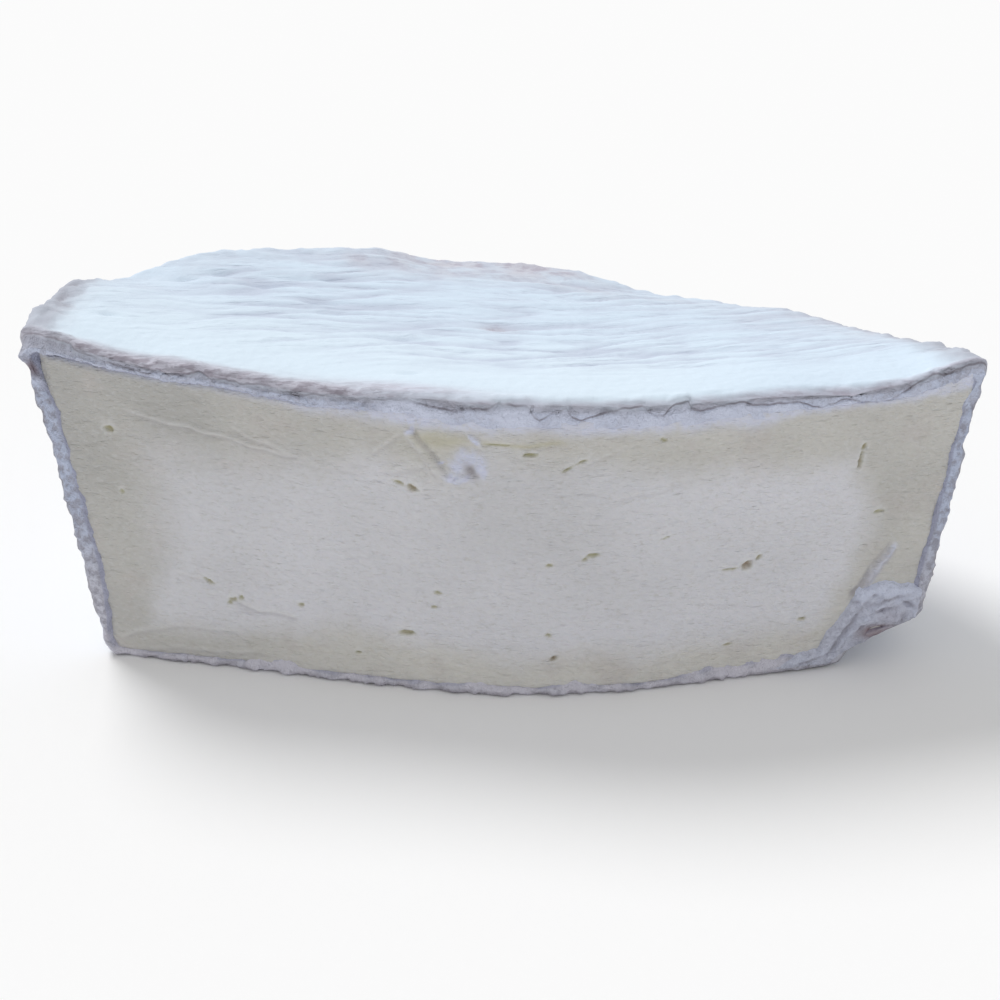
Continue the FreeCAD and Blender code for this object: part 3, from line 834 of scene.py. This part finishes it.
def fold(x, z, ends_of_it):
    """1 along a line between two places, falling off to both sides and past its ends."""
    (x0, z0), (x1, z1), _, half_width = ends_of_it
    length = math.hypot(x1 - x0, z1 - z0)
    ux, uz = (x1 - x0) / length, (z1 - z0) / length
    along = ((x - x0) * ux + (z - z0) * uz) / length
    aside = (z - z0) * ux - (x - x0) * uz + 0.7 * noise(x, z, 0.0, 6.0, 120)
    return bell(aside / half_width) * smooth(along, -0.12, 0.12) * smooth(1.0 - along, -0.12, 0.12)


# painted highlight along the crest of each fold, and painted shadow just below it
crest, below_crest = np.zeros((2,) + face_x.shape)
for line in FOLDS:
    here = fold(face_x, face_z, line)
    face_relief += line[2] * here
    crest = np.maximum(crest, 2.2 * line[2] * here)
    below_crest = np.maximum(below_crest, 2.0 * abs(line[2]) * fold(face_x, face_z + 0.75, line))

torn = bell((face_x + 15.0) / 7.0, (face_z - 53.5) / 6.5)
face_relief += torn * (0.45 * layered(face_x, face_z, 0.0, 3.2, 121, 3) - 0.4)
face_relief += 0.35 * noise(face_x, face_z, 0.0, 30.0, 122)
face_relief += 0.20 * noise(face_x / 2.0, face_z, 0.0, 6.0, 123)
face_relief += 0.11 * layered(face_x / 1.5, face_z, 0.0, 2.0, 124, 2)
dragged = smooth(noise(face_x, face_z, 0.0, 15.0, 128) + 0.3 * smooth(face_x, -40.0, 10.0), -0.25, 0.35)
face_relief += 0.15 * dragged * noise(face_x / 2.6, face_z, 0.0, 1.15, 129)
wrinkled = bell((face_x + 8.0) / 12.0, (face_z - 24.0) / 5.0)
face_relief += 0.12 * wrinkled * noise(face_x, face_z / 0.5, 0.0, 2.4, 125)
face_relief -= 0.12 * bell((face_x - 4.9 - 0.01 * face_z) / 0.5) * smooth(face_z, 2.0, 12.0)
print("relief of the face, low and high:", np.round([face_relief.min(), face_relief.max()], 2), "mm")

# %% [markdown]
# ## Rind that the knife dragged along
#
# The blade carried crumbs of rind down over the paste and left them as a smear near the middle and as
# a slim ridge that rises from the torn corner. They are part of the same grid, as raised ovals and
# folds that take the tone of the cut rind, because loose flakes would hang in front of the face.

# %% Smears, each: place, half length, half width, height and turn
SMEARS = (
    (-8.6, 52.8, 2.6, 1.8, 0.65, 10), (-5.8, 51.2, 1.4, 2.5, 0.75, 8), (-10.4, 50.8, 2, 1.4, 0.60, -35),
    (-11.2, 48.4, 1.9, 1.2, 0.70, -8), (-8.8, 48.4, 1.6, 1, 0.50, 20), (-7, 56.4, 1.5, 0.6, 0.55, -40),
    (-13.6, 51.4, 0.7, 0.5, 0.30, 30), (-18.5, 60.2, 2.4, 1, 0.15, 0), (-19.5, 57.6, 1.2, 0.6, 0.25, 40))
CREASE_LINES = (((80.3, 28), (76.8, 22.4), 1, 0.75), ((77, 22.8), (73.4, 17), 1, 1))
CREASE_SHADES = (((79, 28.4), (75.4, 22.8), 1, 0.45), ((75.6, 23.2), (71.6, 16.6), 1, 0.5))
smeared = np.zeros(face_x.shape)
warp = 0.5 * noise(face_x, face_z, 0.0, 1.5, 126)
for place in SMEARS:
    here = bell(oval(face_x + warp, face_z - warp, place))
    smeared = np.maximum(smeared, here)
    face_relief += place[4] * here
smear_shade = bell((face_x + 7.8 + 0.35 * (face_z - 50.0)) / 1.1, (face_z - 50.0) / 1.7)
for line, shade_line in zip(CREASE_LINES, CREASE_SHADES):
    smeared = np.maximum(smeared, 0.75 * fold(face_x, face_z, line))
    smear_shade = np.maximum(smear_shade, 0.4 * fold(face_x, face_z, shade_line))
face_relief += smeared * 0.3 * crumbs(face_x, face_z, 0.0, 1.6, 127) - 0.45 * smear_shade
print("share of the face that is smeared:", round(float((smeared > 0.5).mean()), 4))

# %% [markdown]
# ## Chalk and cream
#
# Under the rind the paste has ripened to a darker, glossier cream; the core is still chalky and pale.
# The border between them follows the outline of the face at a changing distance, and it is soft. Its
# distance is worked out like the rind's thickness and roughened with noise.

# %% Creamline and the other values of the paste
# how far inside each border of the face a place lies, and where the cream ends
to_side = np.minimum(face_x - face_left, face_right - face_x)
to_top = face_top(face_x) - face_z
to_foot = face_z
right_side = smooth(face_x, -20.0, 20.0)
left_line = 12.0 + 0.14 * face_z
right_line = 18.0 + 6.0 * ((face_z - 28.0) / 18.0) ** 2
side_line = left_line + (right_line - left_line) * right_side
top_line = 14.0 - 4.5 * bell((face_x + 5.0) / 30.0) + 0.5 * right_side
foot_line = 9.0 + 3.5 * bell((face_x + 32.0) / 18.0) + 2.0 * smooth(face_x, 20.0, 60.0)
uneven = 1.8 * noise(face_x, face_z, 0.0, 13.0, 130) + 1.0 * noise(face_x, face_z, 0.0, 4.0, 131)
inside = np.minimum(np.minimum(to_side - side_line, to_top - top_line), to_foot - foot_line) + uneven
cream = 1.0 - smooth(inside, -5.0, 4.0 + 7.0 * smooth(-face_x, 20.0, 60.0) * smooth(face_z, 14.0, 30.0))
# how dark the cream is: most at the left end, least at the lower right
patches = 0.45 + 0.35 * smooth(-face_x, 44.0, 70.0) * (0.4 + 0.6 * smooth(face_z, 0.0, 14.0))
patches = patches + 0.15 * smooth(-face_x, 0.0, 60.0) * smooth(face_z, 30.0, 50.0)
patches = patches - 0.45 * smooth(face_x, -70.0, -20.0) * smooth(-face_z, -22.0, -8.0)
patches = np.clip(patches + 0.22 * noise(face_x, face_z, 0.0, 17.0, 132), 0.0, 1.0)
# how dim the chalk is: most above the middle, least to the right and near the foot
dim = 0.45 + 0.55 * bell((face_x - 4.0) / 17.0) * smooth(face_z, 22.0, 36.0)
dim = dim - 0.35 * smooth(26.0 - face_z, 0.0, 14.0)
dim = dim - 0.3 * smooth(face_x, 22.0, 46.0) + 0.35 * smooth(-face_x, 44.0, 66.0)
dim = dim + 0.3 * noise(face_x, face_z, 0.0, 18.0, 134)
# a bluish haze where the paste touches the rind above it, and the yellowed paste in the torn patch
along_top = np.flatnonzero(up_face > 0.999)
along_top = along_top[np.argsort(edge_x[along_top])]
edge_band = np.interp(face_x[-1], edge_x[along_top], thickness[along_top])[None, :]
haze_reach = 0.9 + 0.9 * smooth(face_x, -60.0, -20.0) - 0.8 * smooth(face_x, 46.0, 58.0)
haze_reach = haze_reach - 0.6 * bell((face_x - 14.0) / 16.0)
past_band = np.maximum(to_top - edge_band, 0.0)
rind_haze = bell(past_band / haze_reach) * (0.6 + 0.4 * smooth(face_x, -60.0, -20.0))
rind_haze = rind_haze * (0.9 + 0.3 * noise(face_x, face_z, 0.0, 3.0, 133))
yellowed = 0.5 * torn + bell((face_x + 13.0) / 5.0, (face_z - 56.6) / 1.6)
yellowed = yellowed + fold(face_x, face_z, ((-6.0, 55.8), (10.0, 55.7), 1.0, 0.55))
border_depth = np.minimum(np.minimum(0.55 * to_side, to_top), to_foot)
face_relief -= 1.6 * (1.0 - smooth(border_depth, 0.0, 2.2))
face_forward = face_relief + 0.15
print("share of the face that is cream:", round(float(cream.mean()), 2))


# %% A plate on the cut face: a fine front, a flat back and the border between them
def face_plate(name, x, z, forward, depth, **values):
    """Closed plate whose front stands forward of the cut and whose back lies depth behind it."""
    side, out = knife_normal(x)
    front = np.stack([x + side * forward, knife_y(x) + out * forward, z], axis=-1)
    index = np.arange(x.size).reshape(x.shape)
    ring = np.concatenate([index[0, :], index[1:, -1], index[-1, -2::-1], index[-2:0:-1, 0]])
    back = np.stack([x, knife_y(x) + depth, z], axis=-1).reshape(-1, 3)[ring]
    pole = back.mean(axis=0)
    points = np.concatenate([front.reshape(-1, 3), back, pole[None, :]])
    band = np.stack([ring, x.size + np.arange(len(ring))])
    band = np.concatenate([band, band[:, :1]], axis=1)
    fan = np.stack([band[1, :-1], band[1, 1:], np.full(len(ring), len(points) - 1)], axis=-1)
    faces = grid_faces(index).tolist() + grid_faces(band).tolist() + fan.tolist()
    spare = np.zeros(len(ring) + 1)
    stored = {}
    for key, numbers in values.items():
        stored[key] = np.concatenate([np.clip(numbers, 0.0, 1.0).ravel(), spare])
    return add_mesh(name, points, faces, **stored)


# the shade value holds painted shade in the smear and under the folds, and the crest value holds a painted
# highlight on the fold crests and the rims of the openings
paste = face_plate(
    "paste", face_x, face_z, face_forward, PLATE, cream=cream, opening=openings, brown=brown, patch=patches,
    torn=yellowed, smeared=smeared + 0.9 * rind_haze, shade=smear_shade + 0.5 * below_crest, dim=dim,
    crest=crest + 0.6 * rims)

# %% [markdown]
# ## The torn corner
#
# At the lower right the rind was torn when the half was pushed over the board: a pale shelf of it lies
# over the paste, lumpy folds hang under the shelf, and a bruised hollow opens at the foot. A plate of
# its own is fine enough for that. It covers the corner where its front stands in front of the paste
# and dives behind it elsewhere, so its ragged outline comes from the form.

# %% Grid and outline of the torn rind
TORN_OUTLINE = (
    (55, 2.5), (62, 5.2), (65.3, 5.6), (66.5, 8.4), (68.1, 10.4), (70.4, 14), (71.8, 16.5),
    (73.2, 19), (77.5, 19.9), (87, 18.1), (92, 17.6))
u = np.linspace(0.0, 1.0, 111)[None, :]
v = np.linspace(0.0, 1.0, 71)[:, None]
torn_z = 0.35 + 21.5 * v + 0.0 * u
torn_right = face_ends(torn_z)[1] - 0.5
torn_x = 55.0 + (torn_right - 55.0) * u
outline_x, outline_z = np.array(TORN_OUTLINE).T
below_outline = np.interp(torn_x, outline_x, outline_z) - torn_z
below_outline = below_outline + 0.6 * noise(torn_x, torn_z, 0.0, 2.6, 140)
to_border = np.minimum(torn_right - torn_x, torn_z - 0.35)
cover = smooth(below_outline, -1.0, 1.8) * smooth(to_border, 0.0, 1.2)
print("share of the corner plate that shows:", round(float((cover > 0.6).mean()), 2))

# %% Lumps and hollows of the torn rind, each: place, half length, half width, height and turn
TORN_LUMPS = (
    (80.8, 17.8, 8.5, 1.7, 0.35, -5), (73.6, 17.4, 1.4, 2.2, 0.4, -15), (82.8, 15.2, 2.4, 1.1, 0.8, 20),
    (77.3, 14.5, 1.8, 0.8, 0.7, 12), (75.2, 11.9, 2.6, 0.9, 0.8, 38), (80.3, 11.2, 3, 1.9, 0.9, 0),
    (85.6, 12.6, 1.5, 2, 0.7, 30), (71, 7.4, 3, 0.9, 0.7, 45), (66.2, 4, 2.6, 0.9, 0.6, 22),
    (60.5, 3, 2.4, 1, 0.5, 10), (86.9, 16.2, 1.5, 0.9, 0.4, 0), (79.8, 5.4, 4, 0.7, 0.3, -4))
TORN_HOLLOWS = (
    (78.2, 7.7, 3.5, 1.5, 1.1, -4), (82.4, 8, 1.6, 0.9, 0.8, 14), (71.6, 10.2, 5, 0.45, 0.5, 56),
    (79.5, 15.3, 4.4, 0.35, 0.25, 12), (72.7, 15.4, 0.6, 0.6, 0.6, 0), (84.4, 13.9, 2.3, 0.45, 0.6, -32),
    (76.4, 16.7, 0.5, 0.4, 0.5, 0), (63.4, 2.6, 3, 0.4, 0.4, 18), (78.6, 13, 2.6, 0.4, 0.5, 8),
    (68.6, 5.6, 2.6, 0.5, 0.5, 60), (83.4, 10.4, 0.8, 1.2, 0.6, 10), (74, 9, 1.6, 0.6, 0.5, 30))
lumps, hollows = np.zeros((2,) + torn_x.shape)
torn_forward = 0.30 * layered(torn_x, torn_z, 0.0, 2.4, 141, 3)
rumpled = crumbs(torn_x / 1.3, torn_z, 0.0, 1.9, 142)
torn_forward += 0.25 * rumpled * smooth(17.5 - torn_z, 0.0, 2.0)
for places, outward, most in ((TORN_LUMPS, 1.0, lumps), (TORN_HOLLOWS, -1.0, hollows)):
    for place in places:
        here = dent(torn_x, torn_z, place)
        most[:] = np.maximum(most, here)
        torn_forward += outward * place[4] * here
shelf = dent(torn_x, torn_z, TORN_LUMPS[0]) + dent(torn_x, torn_z, TORN_LUMPS[1])
bruised = 1.3 * dent(torn_x, torn_z, TORN_HOLLOWS[0]) + 0.2 * dent(torn_x, torn_z, TORN_LUMPS[5])
bruised = np.clip(bruised, 0.0, 1.0)
# painted shade in the hollows and the clefts of the crumpled rind
torn_crevice_shade = 0.8 * hollows * (1.0 - bruised) + 0.5 * bruised * smooth(rumpled, 0.2, -0.6)
torn_crevice_shade = torn_crevice_shade + 0.2 * smooth(-rumpled, 0.2, 0.9) * (1.0 - shelf)
# the pale value here is the shelf's own pale tone plus painted light: a painted highlight on the lumps and a
# lift of the whole corner out of its shade
torn_rind = face_plate(
    "torn_rind", torn_x, torn_z, cover * (2.9 + torn_forward) - 1.8, 3.0, cut_tone=1.0 + 0.0 * torn_x,
    across=0.5 + 0.0 * torn_x, high=0.4 * shelf, pale=(0.5 + 0.4 * shelf + 0.3 * lumps) * (1.0 - bruised),
    hollow=0.8 * torn_crevice_shade, bruise=bruised)

# %% [markdown]
# ## Materials
#
# A colour is given the way a paint chart would, by its display values, and turned into light values
# for the shader. Each finish mixes its tones by the values stored on the points and by noise that
# reads Object coordinates, so it sticks to the piece, and a fine bump gives the felt and the curd.

# %% Helpers for the finishes
def tone(red, green, blue):
    """Display values from 0 to 255 as linear light, with the usual curve of displays."""
    shares_of_it = np.array([red, green, blue]) / 255.0
    light = np.where(shares_of_it <= 0.04045, shares_of_it / 12.92, ((shares_of_it + 0.055) / 1.055) ** 2.4)
    return tuple(float(c) for c in light) + (1.0,)


class Finish:
    """A material under construction: its tone and relief so far, and short calls for the shared nodes."""

    def __init__(self, name, first_tone):
        self.material = bpy.data.materials.new(name)
        self.material.use_nodes = True
        self.nodes = self.material.node_tree.nodes
        self.links = self.material.node_tree.links
        self.surface = self.nodes["Principled BSDF"]
        self.coordinates = self.nodes.new("ShaderNodeTexCoord").outputs["Object"]
        self.tone, self.relief = first_tone, None

    def put(self, given, socket):
        """Gives a socket a number, a tone, a value stored on the points or another node's output."""
        if isinstance(given, str):
            node = self.nodes.new("ShaderNodeAttribute")
            node.attribute_name = given
            given = node.outputs["Fac"]
        if isinstance(given, (int, float, tuple)):
            socket.default_value = given
        else:
            self.links.new(given, socket)

    def cloudy(self, places, scale, detail, rough):
        """Noise from 0 to 1 at the given places."""
        node = self.nodes.new("ShaderNodeTexNoise")
        for name, given in (("Vector", places), ("Scale", scale), ("Detail", detail), ("Roughness", rough)):
            self.put(given, node.inputs[name])
        return node.outputs["Fac"]

    def grain(self, millimetres, detail=2.0, rough=0.5, stretch=(1.0, 1.0, 1.0)):
        """Noise whose bumps are so many millimetres wide."""
        mapping = self.nodes.new("ShaderNodeMapping")
        self.put(stretch, mapping.inputs["Scale"])
        self.put(self.coordinates, mapping.inputs["Vector"])
        return self.cloudy(mapping.outputs["Vector"], 1.0 / (millimetres * MM), detail, rough)

    def streaks(self, name, length, width, detail=2.0):
        """Noise drawn out along lines on which the named number stays the same; sizes in millimetres."""
        split = self.nodes.new("ShaderNodeSeparateXYZ")
        join = self.nodes.new("ShaderNodeCombineXYZ")
        self.put(self.coordinates, split.inputs["Vector"])
        self.put(self.math("MULTIPLY", split.outputs["X"], 1.0 / (length * MM)), join.inputs["X"])
        self.put(self.math("MULTIPLY", name, 1.0 / width), join.inputs["Y"])
        return self.cloudy(join.outputs["Vector"], 1.0, detail, 0.5)

    def math(self, kind, first, second, clamp=False):
        """Arithmetic on two sockets, numbers or stored values."""
        node = self.nodes.new("ShaderNodeMath")
        node.operation, node.use_clamp = kind, clamp
        self.put(first, node.inputs[0])
        self.put(second, node.inputs[1])
        return node.outputs["Value"]

    def remap(self, given, low, high, to_low=0.0, to_high=1.0):
        """Stretches a range of numbers onto another one and stops at its ends."""
        node = self.nodes.new("ShaderNodeMapRange")
        node.interpolation_type = "SMOOTHSTEP"
        for socket, number in zip(node.inputs, (given, low, high, to_low, to_high)):
            self.put(number, socket)
        return node.outputs["Result"]

    def mix(self, share, first, second):
        """Blend of two tones by a share."""
        node = self.nodes.new("ShaderNodeMix")
        node.data_type = "RGBA"
        tones = [socket for socket in node.inputs if socket.type == "RGBA"]
        for given, socket in zip((share, first, second), [node.inputs["Factor"]] + tones):
            self.put(given, socket)
        return [socket for socket in node.outputs if socket.type == "RGBA"][0]

    def over(self, share, above, strength=None):
        """Lays a tone over the tone so far, by a share and perhaps a strength."""
        if strength is not None:
            share = self.math("MULTIPLY", share, strength, True)
        self.tone = self.mix(share, self.tone, above)

    def bump(self, height, millimetres, strength):
        """Fine relief on top of the relief so far: height 0 to 1 stands for so many millimetres."""
        node = self.nodes.new("ShaderNodeBump")
        node.inputs["Distance"].default_value = millimetres * MM
        node.inputs["Strength"].default_value = strength
        self.put(height, node.inputs["Height"])
        if self.relief is not None:
            self.put(self.relief, node.inputs["Normal"])
        self.relief = node.outputs["Normal"]

    def give(self, pieces, sockets):
        """Joins tone and relief to the shader, sets its plain numbers and gives the pieces the finish."""
        self.put(self.tone, self.surface.inputs["Base Color"])
        if self.relief is not None:
            self.put(self.relief, self.surface.inputs["Normal"])
        for name, number in sockets.items():
            self.surface.inputs[name].default_value = number
        for piece in pieces:
            piece.data.materials.append(self.material)
        print("nodes of", self.material.name, "for", [piece.name for piece in pieces], len(self.nodes))


print("middle grey in linear light:", round(tone(128, 128, 128)[0], 3))

# %% Tones of the rind
BLOOM_BRIGHT = tone(224, 240, 253)
BLOOM_WHITE = tone(217, 234, 250)
BLOOM_SHADE = tone(202, 213, 231)
RUBBED_PINK = tone(206, 207, 218)
RUBBED_DARK = tone(186, 182, 196)
LIP_PINK = tone(208, 208, 224)
LIP_DARK = tone(190, 184, 199)
RIDGE_PINK = tone(198, 196, 209)
RIDGE_DARK = tone(166, 159, 172)
WORN = tone(184, 189, 202)
CUT_HIGH = tone(194, 203, 226)
CUT_LOW = tone(206, 207, 220)
CUT_HOLLOW_SHADE = tone(154, 152, 165)
CUT_INNER = tone(168, 171, 194)
CUT_OUTER = tone(150, 145, 150)
EDGE_PALE = tone(216, 222, 242)
FOOT_PALE_LIT = tone(218, 216, 228)
BRUISE = tone(146, 124, 131)
# painted shade for the clefts, pits, hollows and the crack
CREVICE_SHADE = tone(122, 114, 124)
SIDE_PALE = tone(206, 216, 232)
SIDE_DARK = tone(186, 186, 200)
bloom = Finish("bloomy_rind", BLOOM_WHITE)
mottle = bloom.remap(bloom.grain(9.0, 4.0, 0.6), 0.35, 0.65)
bloom.over("fresh", BLOOM_BRIGHT)
# painted shade in the bottoms of the wrinkles and along the faint streaks between them
streak = bloom.remap(bloom.streaks("course", 11.0, 2.3, 3.0), 0.5, 0.7)
crease_shade = bloom.math("ADD", "wrinkle", bloom.math("MULTIPLY", streak, 0.25))
bloom.over(crease_shade, BLOOM_SHADE, "streaky")
pinkish = bloom.mix(bloom.remap(bloom.grain(4.0, 4.0, 0.6), 0.4, 0.62), RUBBED_PINK, RUBBED_DARK)
bloom.over("rubbed", pinkish, bloom.remap(mottle, 0.0, 1.0, 0.5, 1.0))
bloom.over("side_tone", bloom.mix(mottle, SIDE_PALE, SIDE_DARK), 0.9)
print("nodes of the skin's tone:", len(bloom.nodes))

# %% Cut edge, ridge and crack of the rind
drawn_out = bloom.grain(1.2, 3.0, 0.6, (0.3, 1.0, 1.0))
drawn_share = bloom.remap(drawn_out, 0.44, 0.60)
lip_mix = bloom.mix(drawn_share, LIP_PINK, LIP_DARK)
ridge_mix = bloom.mix(drawn_share, RIDGE_PINK, RIDGE_DARK)
bloom.over("worn", WORN)
bloom.over("edge_tint", bloom.mix("edge_left", lip_mix, ridge_mix), 0.95)
# the cut through the rind: lumps with painted shade in the hollows between them, a smooth line inside and a
# dull border outside
lumpy = bloom.grain(1.7, 3.0, 0.65)
cut_mix = bloom.mix("high", CUT_LOW, CUT_HIGH)
cut_mix = bloom.mix(bloom.remap(lumpy, 0.60, 0.36, 0.0, 0.75), cut_mix, CUT_HOLLOW_SHADE)
cut_mix = bloom.mix(bloom.remap("across", 0.78, 0.90, 0.0, 0.8), cut_mix, CUT_INNER)
cut_mix = bloom.mix(bloom.remap("across", 0.16, 0.02, 0.0, 0.6), cut_mix, CUT_OUTER)
bloom.over("cut_tone", cut_mix)
crumb = bloom.grain(1.5, 3.0, 0.6, (0.4, 1.0, 1.8))
# painted shade in the clefts between the crumbs of the left ridge
bloom.over(bloom.math("MULTIPLY", bloom.remap(crumb, 0.50, 0.40), "ridge", True), CREVICE_SHADE, 0.38)
bloom.over("pale", EDGE_PALE)
# pale patches of the foot, partly painted light that lifts its shade
bloom.over("foot_pale", FOOT_PALE_LIT)
# painted shade in the pits, dips and clefts and along the underside of the cut edge
bloom.over("hollow", CREVICE_SHADE, 0.8)
bloom.over("bruise", BRUISE)
# the crack's shade is painted as a thin dark line where the way past it is zero
off_crack = bloom.math("ABSOLUTE", "crack_side", 0.0)
crack_shade = bloom.remap(off_crack, 0.05, 0.34, 1.0, 0.0)
bloom.over(bloom.math("MULTIPLY", crack_shade, "crack_here", True), CREVICE_SHADE, 0.7)
bloom.bump(bloom.grain(1.3, 3.0, 0.6), 0.20, 0.6)
bloom.bump(bloom.grain(0.45, 2.0, 0.5), 0.08, 0.5)
bloom.bump(bloom.math("MULTIPLY", crumb, "ridge"), 0.9, 0.7)
bloom.bump(bloom.math("MULTIPLY", lumpy, "cut_tone"), 1.6, 0.9)
bloom.bump(bloom.math("MULTIPLY", drawn_out, "edge_tint"), 0.5, 0.6)
bloom.bump(bloom.math("MULTIPLY", streak, "streaky"), -0.25, 0.6)
bloom.give((rind, torn_rind), {
    "Roughness": 0.85, "Sheen Weight": 0.15, "Sheen Roughness": 0.6, "Specular IOR Level": 0.25})

# %% Finish of the paste
CHALK_PALE = tone(226, 226, 232)
CHALK_DIM = tone(211, 211, 215)
CREAM_PALE = tone(220, 218, 213)
CREAM_DARK = tone(186, 185, 182)
CREAM_PINK = tone(199, 193, 190)
HOLE_OLIVE = tone(176, 173, 126)
HOLE_BROWN = tone(150, 122, 88)
SMEAR_PALE = tone(217, 221, 240)
SMEAR_SHADE = tone(160, 155, 161)
YELLOWED = tone(197, 193, 172)
CREST_HIGHLIGHT = tone(233, 233, 234)
WHEY_FLECK = tone(180, 178, 166)
FAT_FLECK = tone(230, 231, 234)
curd = Finish("ripened_paste", CHALK_PALE)
curd.over("dim", CHALK_DIM)
creamy = curd.mix("patch", CREAM_PALE, CREAM_DARK)
pinker = curd.remap(curd.grain(11.0, 3.0, 0.6), 0.5, 0.68, 0.0, 0.45)
curd.over("cream", curd.mix(pinker, creamy, CREAM_PINK))
curd.over("torn", YELLOWED, 0.8)
# fine flecks of whey and fat, a little lighter and darker than the rest
flecks = curd.grain(0.8, 3.0, 0.65, (0.6, 1.0, 1.3))
curd.over(curd.remap(flecks, 0.52, 0.75, 0.0, 0.3), WHEY_FLECK)
curd.over(curd.remap(flecks, 0.25, 0.5, 0.22, 0.0), FAT_FLECK)
# painted highlight on the fold crests and the rims of the openings
curd.over("crest", CREST_HIGHLIGHT, 0.55)
broken = curd.remap(curd.grain(1.5, 3.0, 0.6), 0.3, 0.5, 0.6, 1.0)
curd.over(curd.math("MULTIPLY", "smeared", broken), SMEAR_PALE)
# painted shade in the middle of the smear and under the folds
curd.over("shade", SMEAR_SHADE, 0.8)
curd.over("opening", curd.mix("brown", HOLE_OLIVE, HOLE_BROWN), 0.8)
curd.bump(flecks, 0.42, 0.9)
curd.bump(curd.grain(3.2, 4.0, 0.6, (0.4, 1.0, 1.2)), 1.3, 0.8)
curd.bump(curd.grain(1.0, 2.0, 0.6, (0.35, 1.0, 1.5)), 0.34, 0.8)
curd.give((paste,), {
    "Roughness": 0.5, "Specular IOR Level": 0.35, "Subsurface Weight": 0.15,
    "Subsurface Radius": (0.003, 0.0024, 0.0018), "Subsurface Scale": 0.6})

# %% [markdown]
# ## Riding and standing for the solid
#
# The three pieces belong to the one cheese, so they ride on the only body. Together they stand for
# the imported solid, which is hidden.

# %% Belonging
for piece, finish in ((rind, "rind"), (paste, "paste"), (torn_rind, "rind")):
    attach(piece, "root")
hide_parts("cheese_half")
print("pieces:", rind.name, paste.name, torn_rind.name)

# %% [markdown]
# ## Floor, light and camera
#
# A wide pale floor and a soft sky light the cheese evenly, and a broad sun from behind on the left
# shows the wrinkles. Their sum on the top is about one, so the colours come out as they are written.

# %% Floor
FLOOR_HALF = 6.0
FLOOR_GAP = 0.0002      # how far the floor lies under the cheese
floor_mesh = bpy.data.meshes.new("floor")
CORNERS = ((-1, -1), (1, -1), (1, 1), (-1, 1))
floor_corners = [(x * FLOOR_HALF, y * FLOOR_HALF, cad_low.z - FLOOR_GAP) for x, y in CORNERS]
floor_mesh.from_pydata(floor_corners, [], [(0, 1, 2, 3)])
floor = bpy.data.objects.new("floor", floor_mesh)
bpy.context.collection.objects.link(floor)
Finish("pale_floor", (0.97, 0.97, 0.97, 1.0)).give((floor,), {"Roughness": 0.9, "Specular IOR Level": 0.0})
print("floor:", 2 * FLOOR_HALF, "m wide")

# %% Sky and sun
SKY_STRENGTH = 0.57
SUN_STRENGTH = 1.75
world = bpy.data.worlds.new("studio")
bpy.context.scene.world = world
world.use_nodes = True
sky_nodes, sky_links = world.node_tree.nodes, world.node_tree.links
sky, seen = sky_nodes["Background"], sky_nodes.new("ShaderNodeBackground")
for shell, strength in ((sky, SKY_STRENGTH), (seen, 1.0)):
    shell.inputs["Color"].default_value = (1.0, 1.0, 1.0, 1.0)
    shell.inputs["Strength"].default_value = strength
path = sky_nodes.new("ShaderNodeLightPath")
chooser = sky_nodes.new("ShaderNodeMixShader")
either = sky_nodes.new("ShaderNodeMath")
either.operation = "MAXIMUM"
sky_links.new(path.outputs["Is Camera Ray"], either.inputs[0])
sky_links.new(path.outputs["Is Glossy Ray"], either.inputs[1])
sky_links.new(either.outputs[0], chooser.inputs[0])
sky_links.new(sky.outputs[0], chooser.inputs[1])
sky_links.new(seen.outputs[0], chooser.inputs[2])
sky_links.new(chooser.outputs[0], sky_nodes["World Output"].inputs["Surface"])

sun_data = bpy.data.lights.new("soft_sun", "SUN")
sun_data.energy = SUN_STRENGTH
sun_data.angle = math.radians(25.0)
sun = bpy.data.objects.new("soft_sun", sun_data)
bpy.context.collection.objects.link(sun)
SUN_FROM = Vector((-0.45, 0.55, 0.85))
sun.rotation_euler = SUN_FROM.to_track_quat("Z", "Y").to_euler()
print("sun stands at", round(math.degrees(math.asin(SUN_FROM.normalized().z)), 1), "degrees")

# %% Camera
CAMERA_LIFT = math.radians(24.0)
CAMERA_DISTANCE = 297.4
CAMERA_AIM = (-0.87, -36.25, 33.9)
camera_data = bpy.data.cameras.new("camera")
camera_data.lens = 50.4
camera_data.sensor_width = 36.0
camera_data.clip_start = 0.01
camera = bpy.data.objects.new("camera", camera_data)
bpy.context.collection.objects.link(camera)
aim = Vector(CAMERA_AIM) * MM
away = Vector((0.0, -math.cos(CAMERA_LIFT), math.sin(CAMERA_LIFT)))
camera.location = aim + away * CAMERA_DISTANCE * MM
camera.rotation_euler = away.to_track_quat("Z", "Y").to_euler()
bpy.context.scene.camera = camera
bpy.context.scene.view_settings.view_transform = "Standard"
print("camera at", [round(c, 4) for c in camera.location])
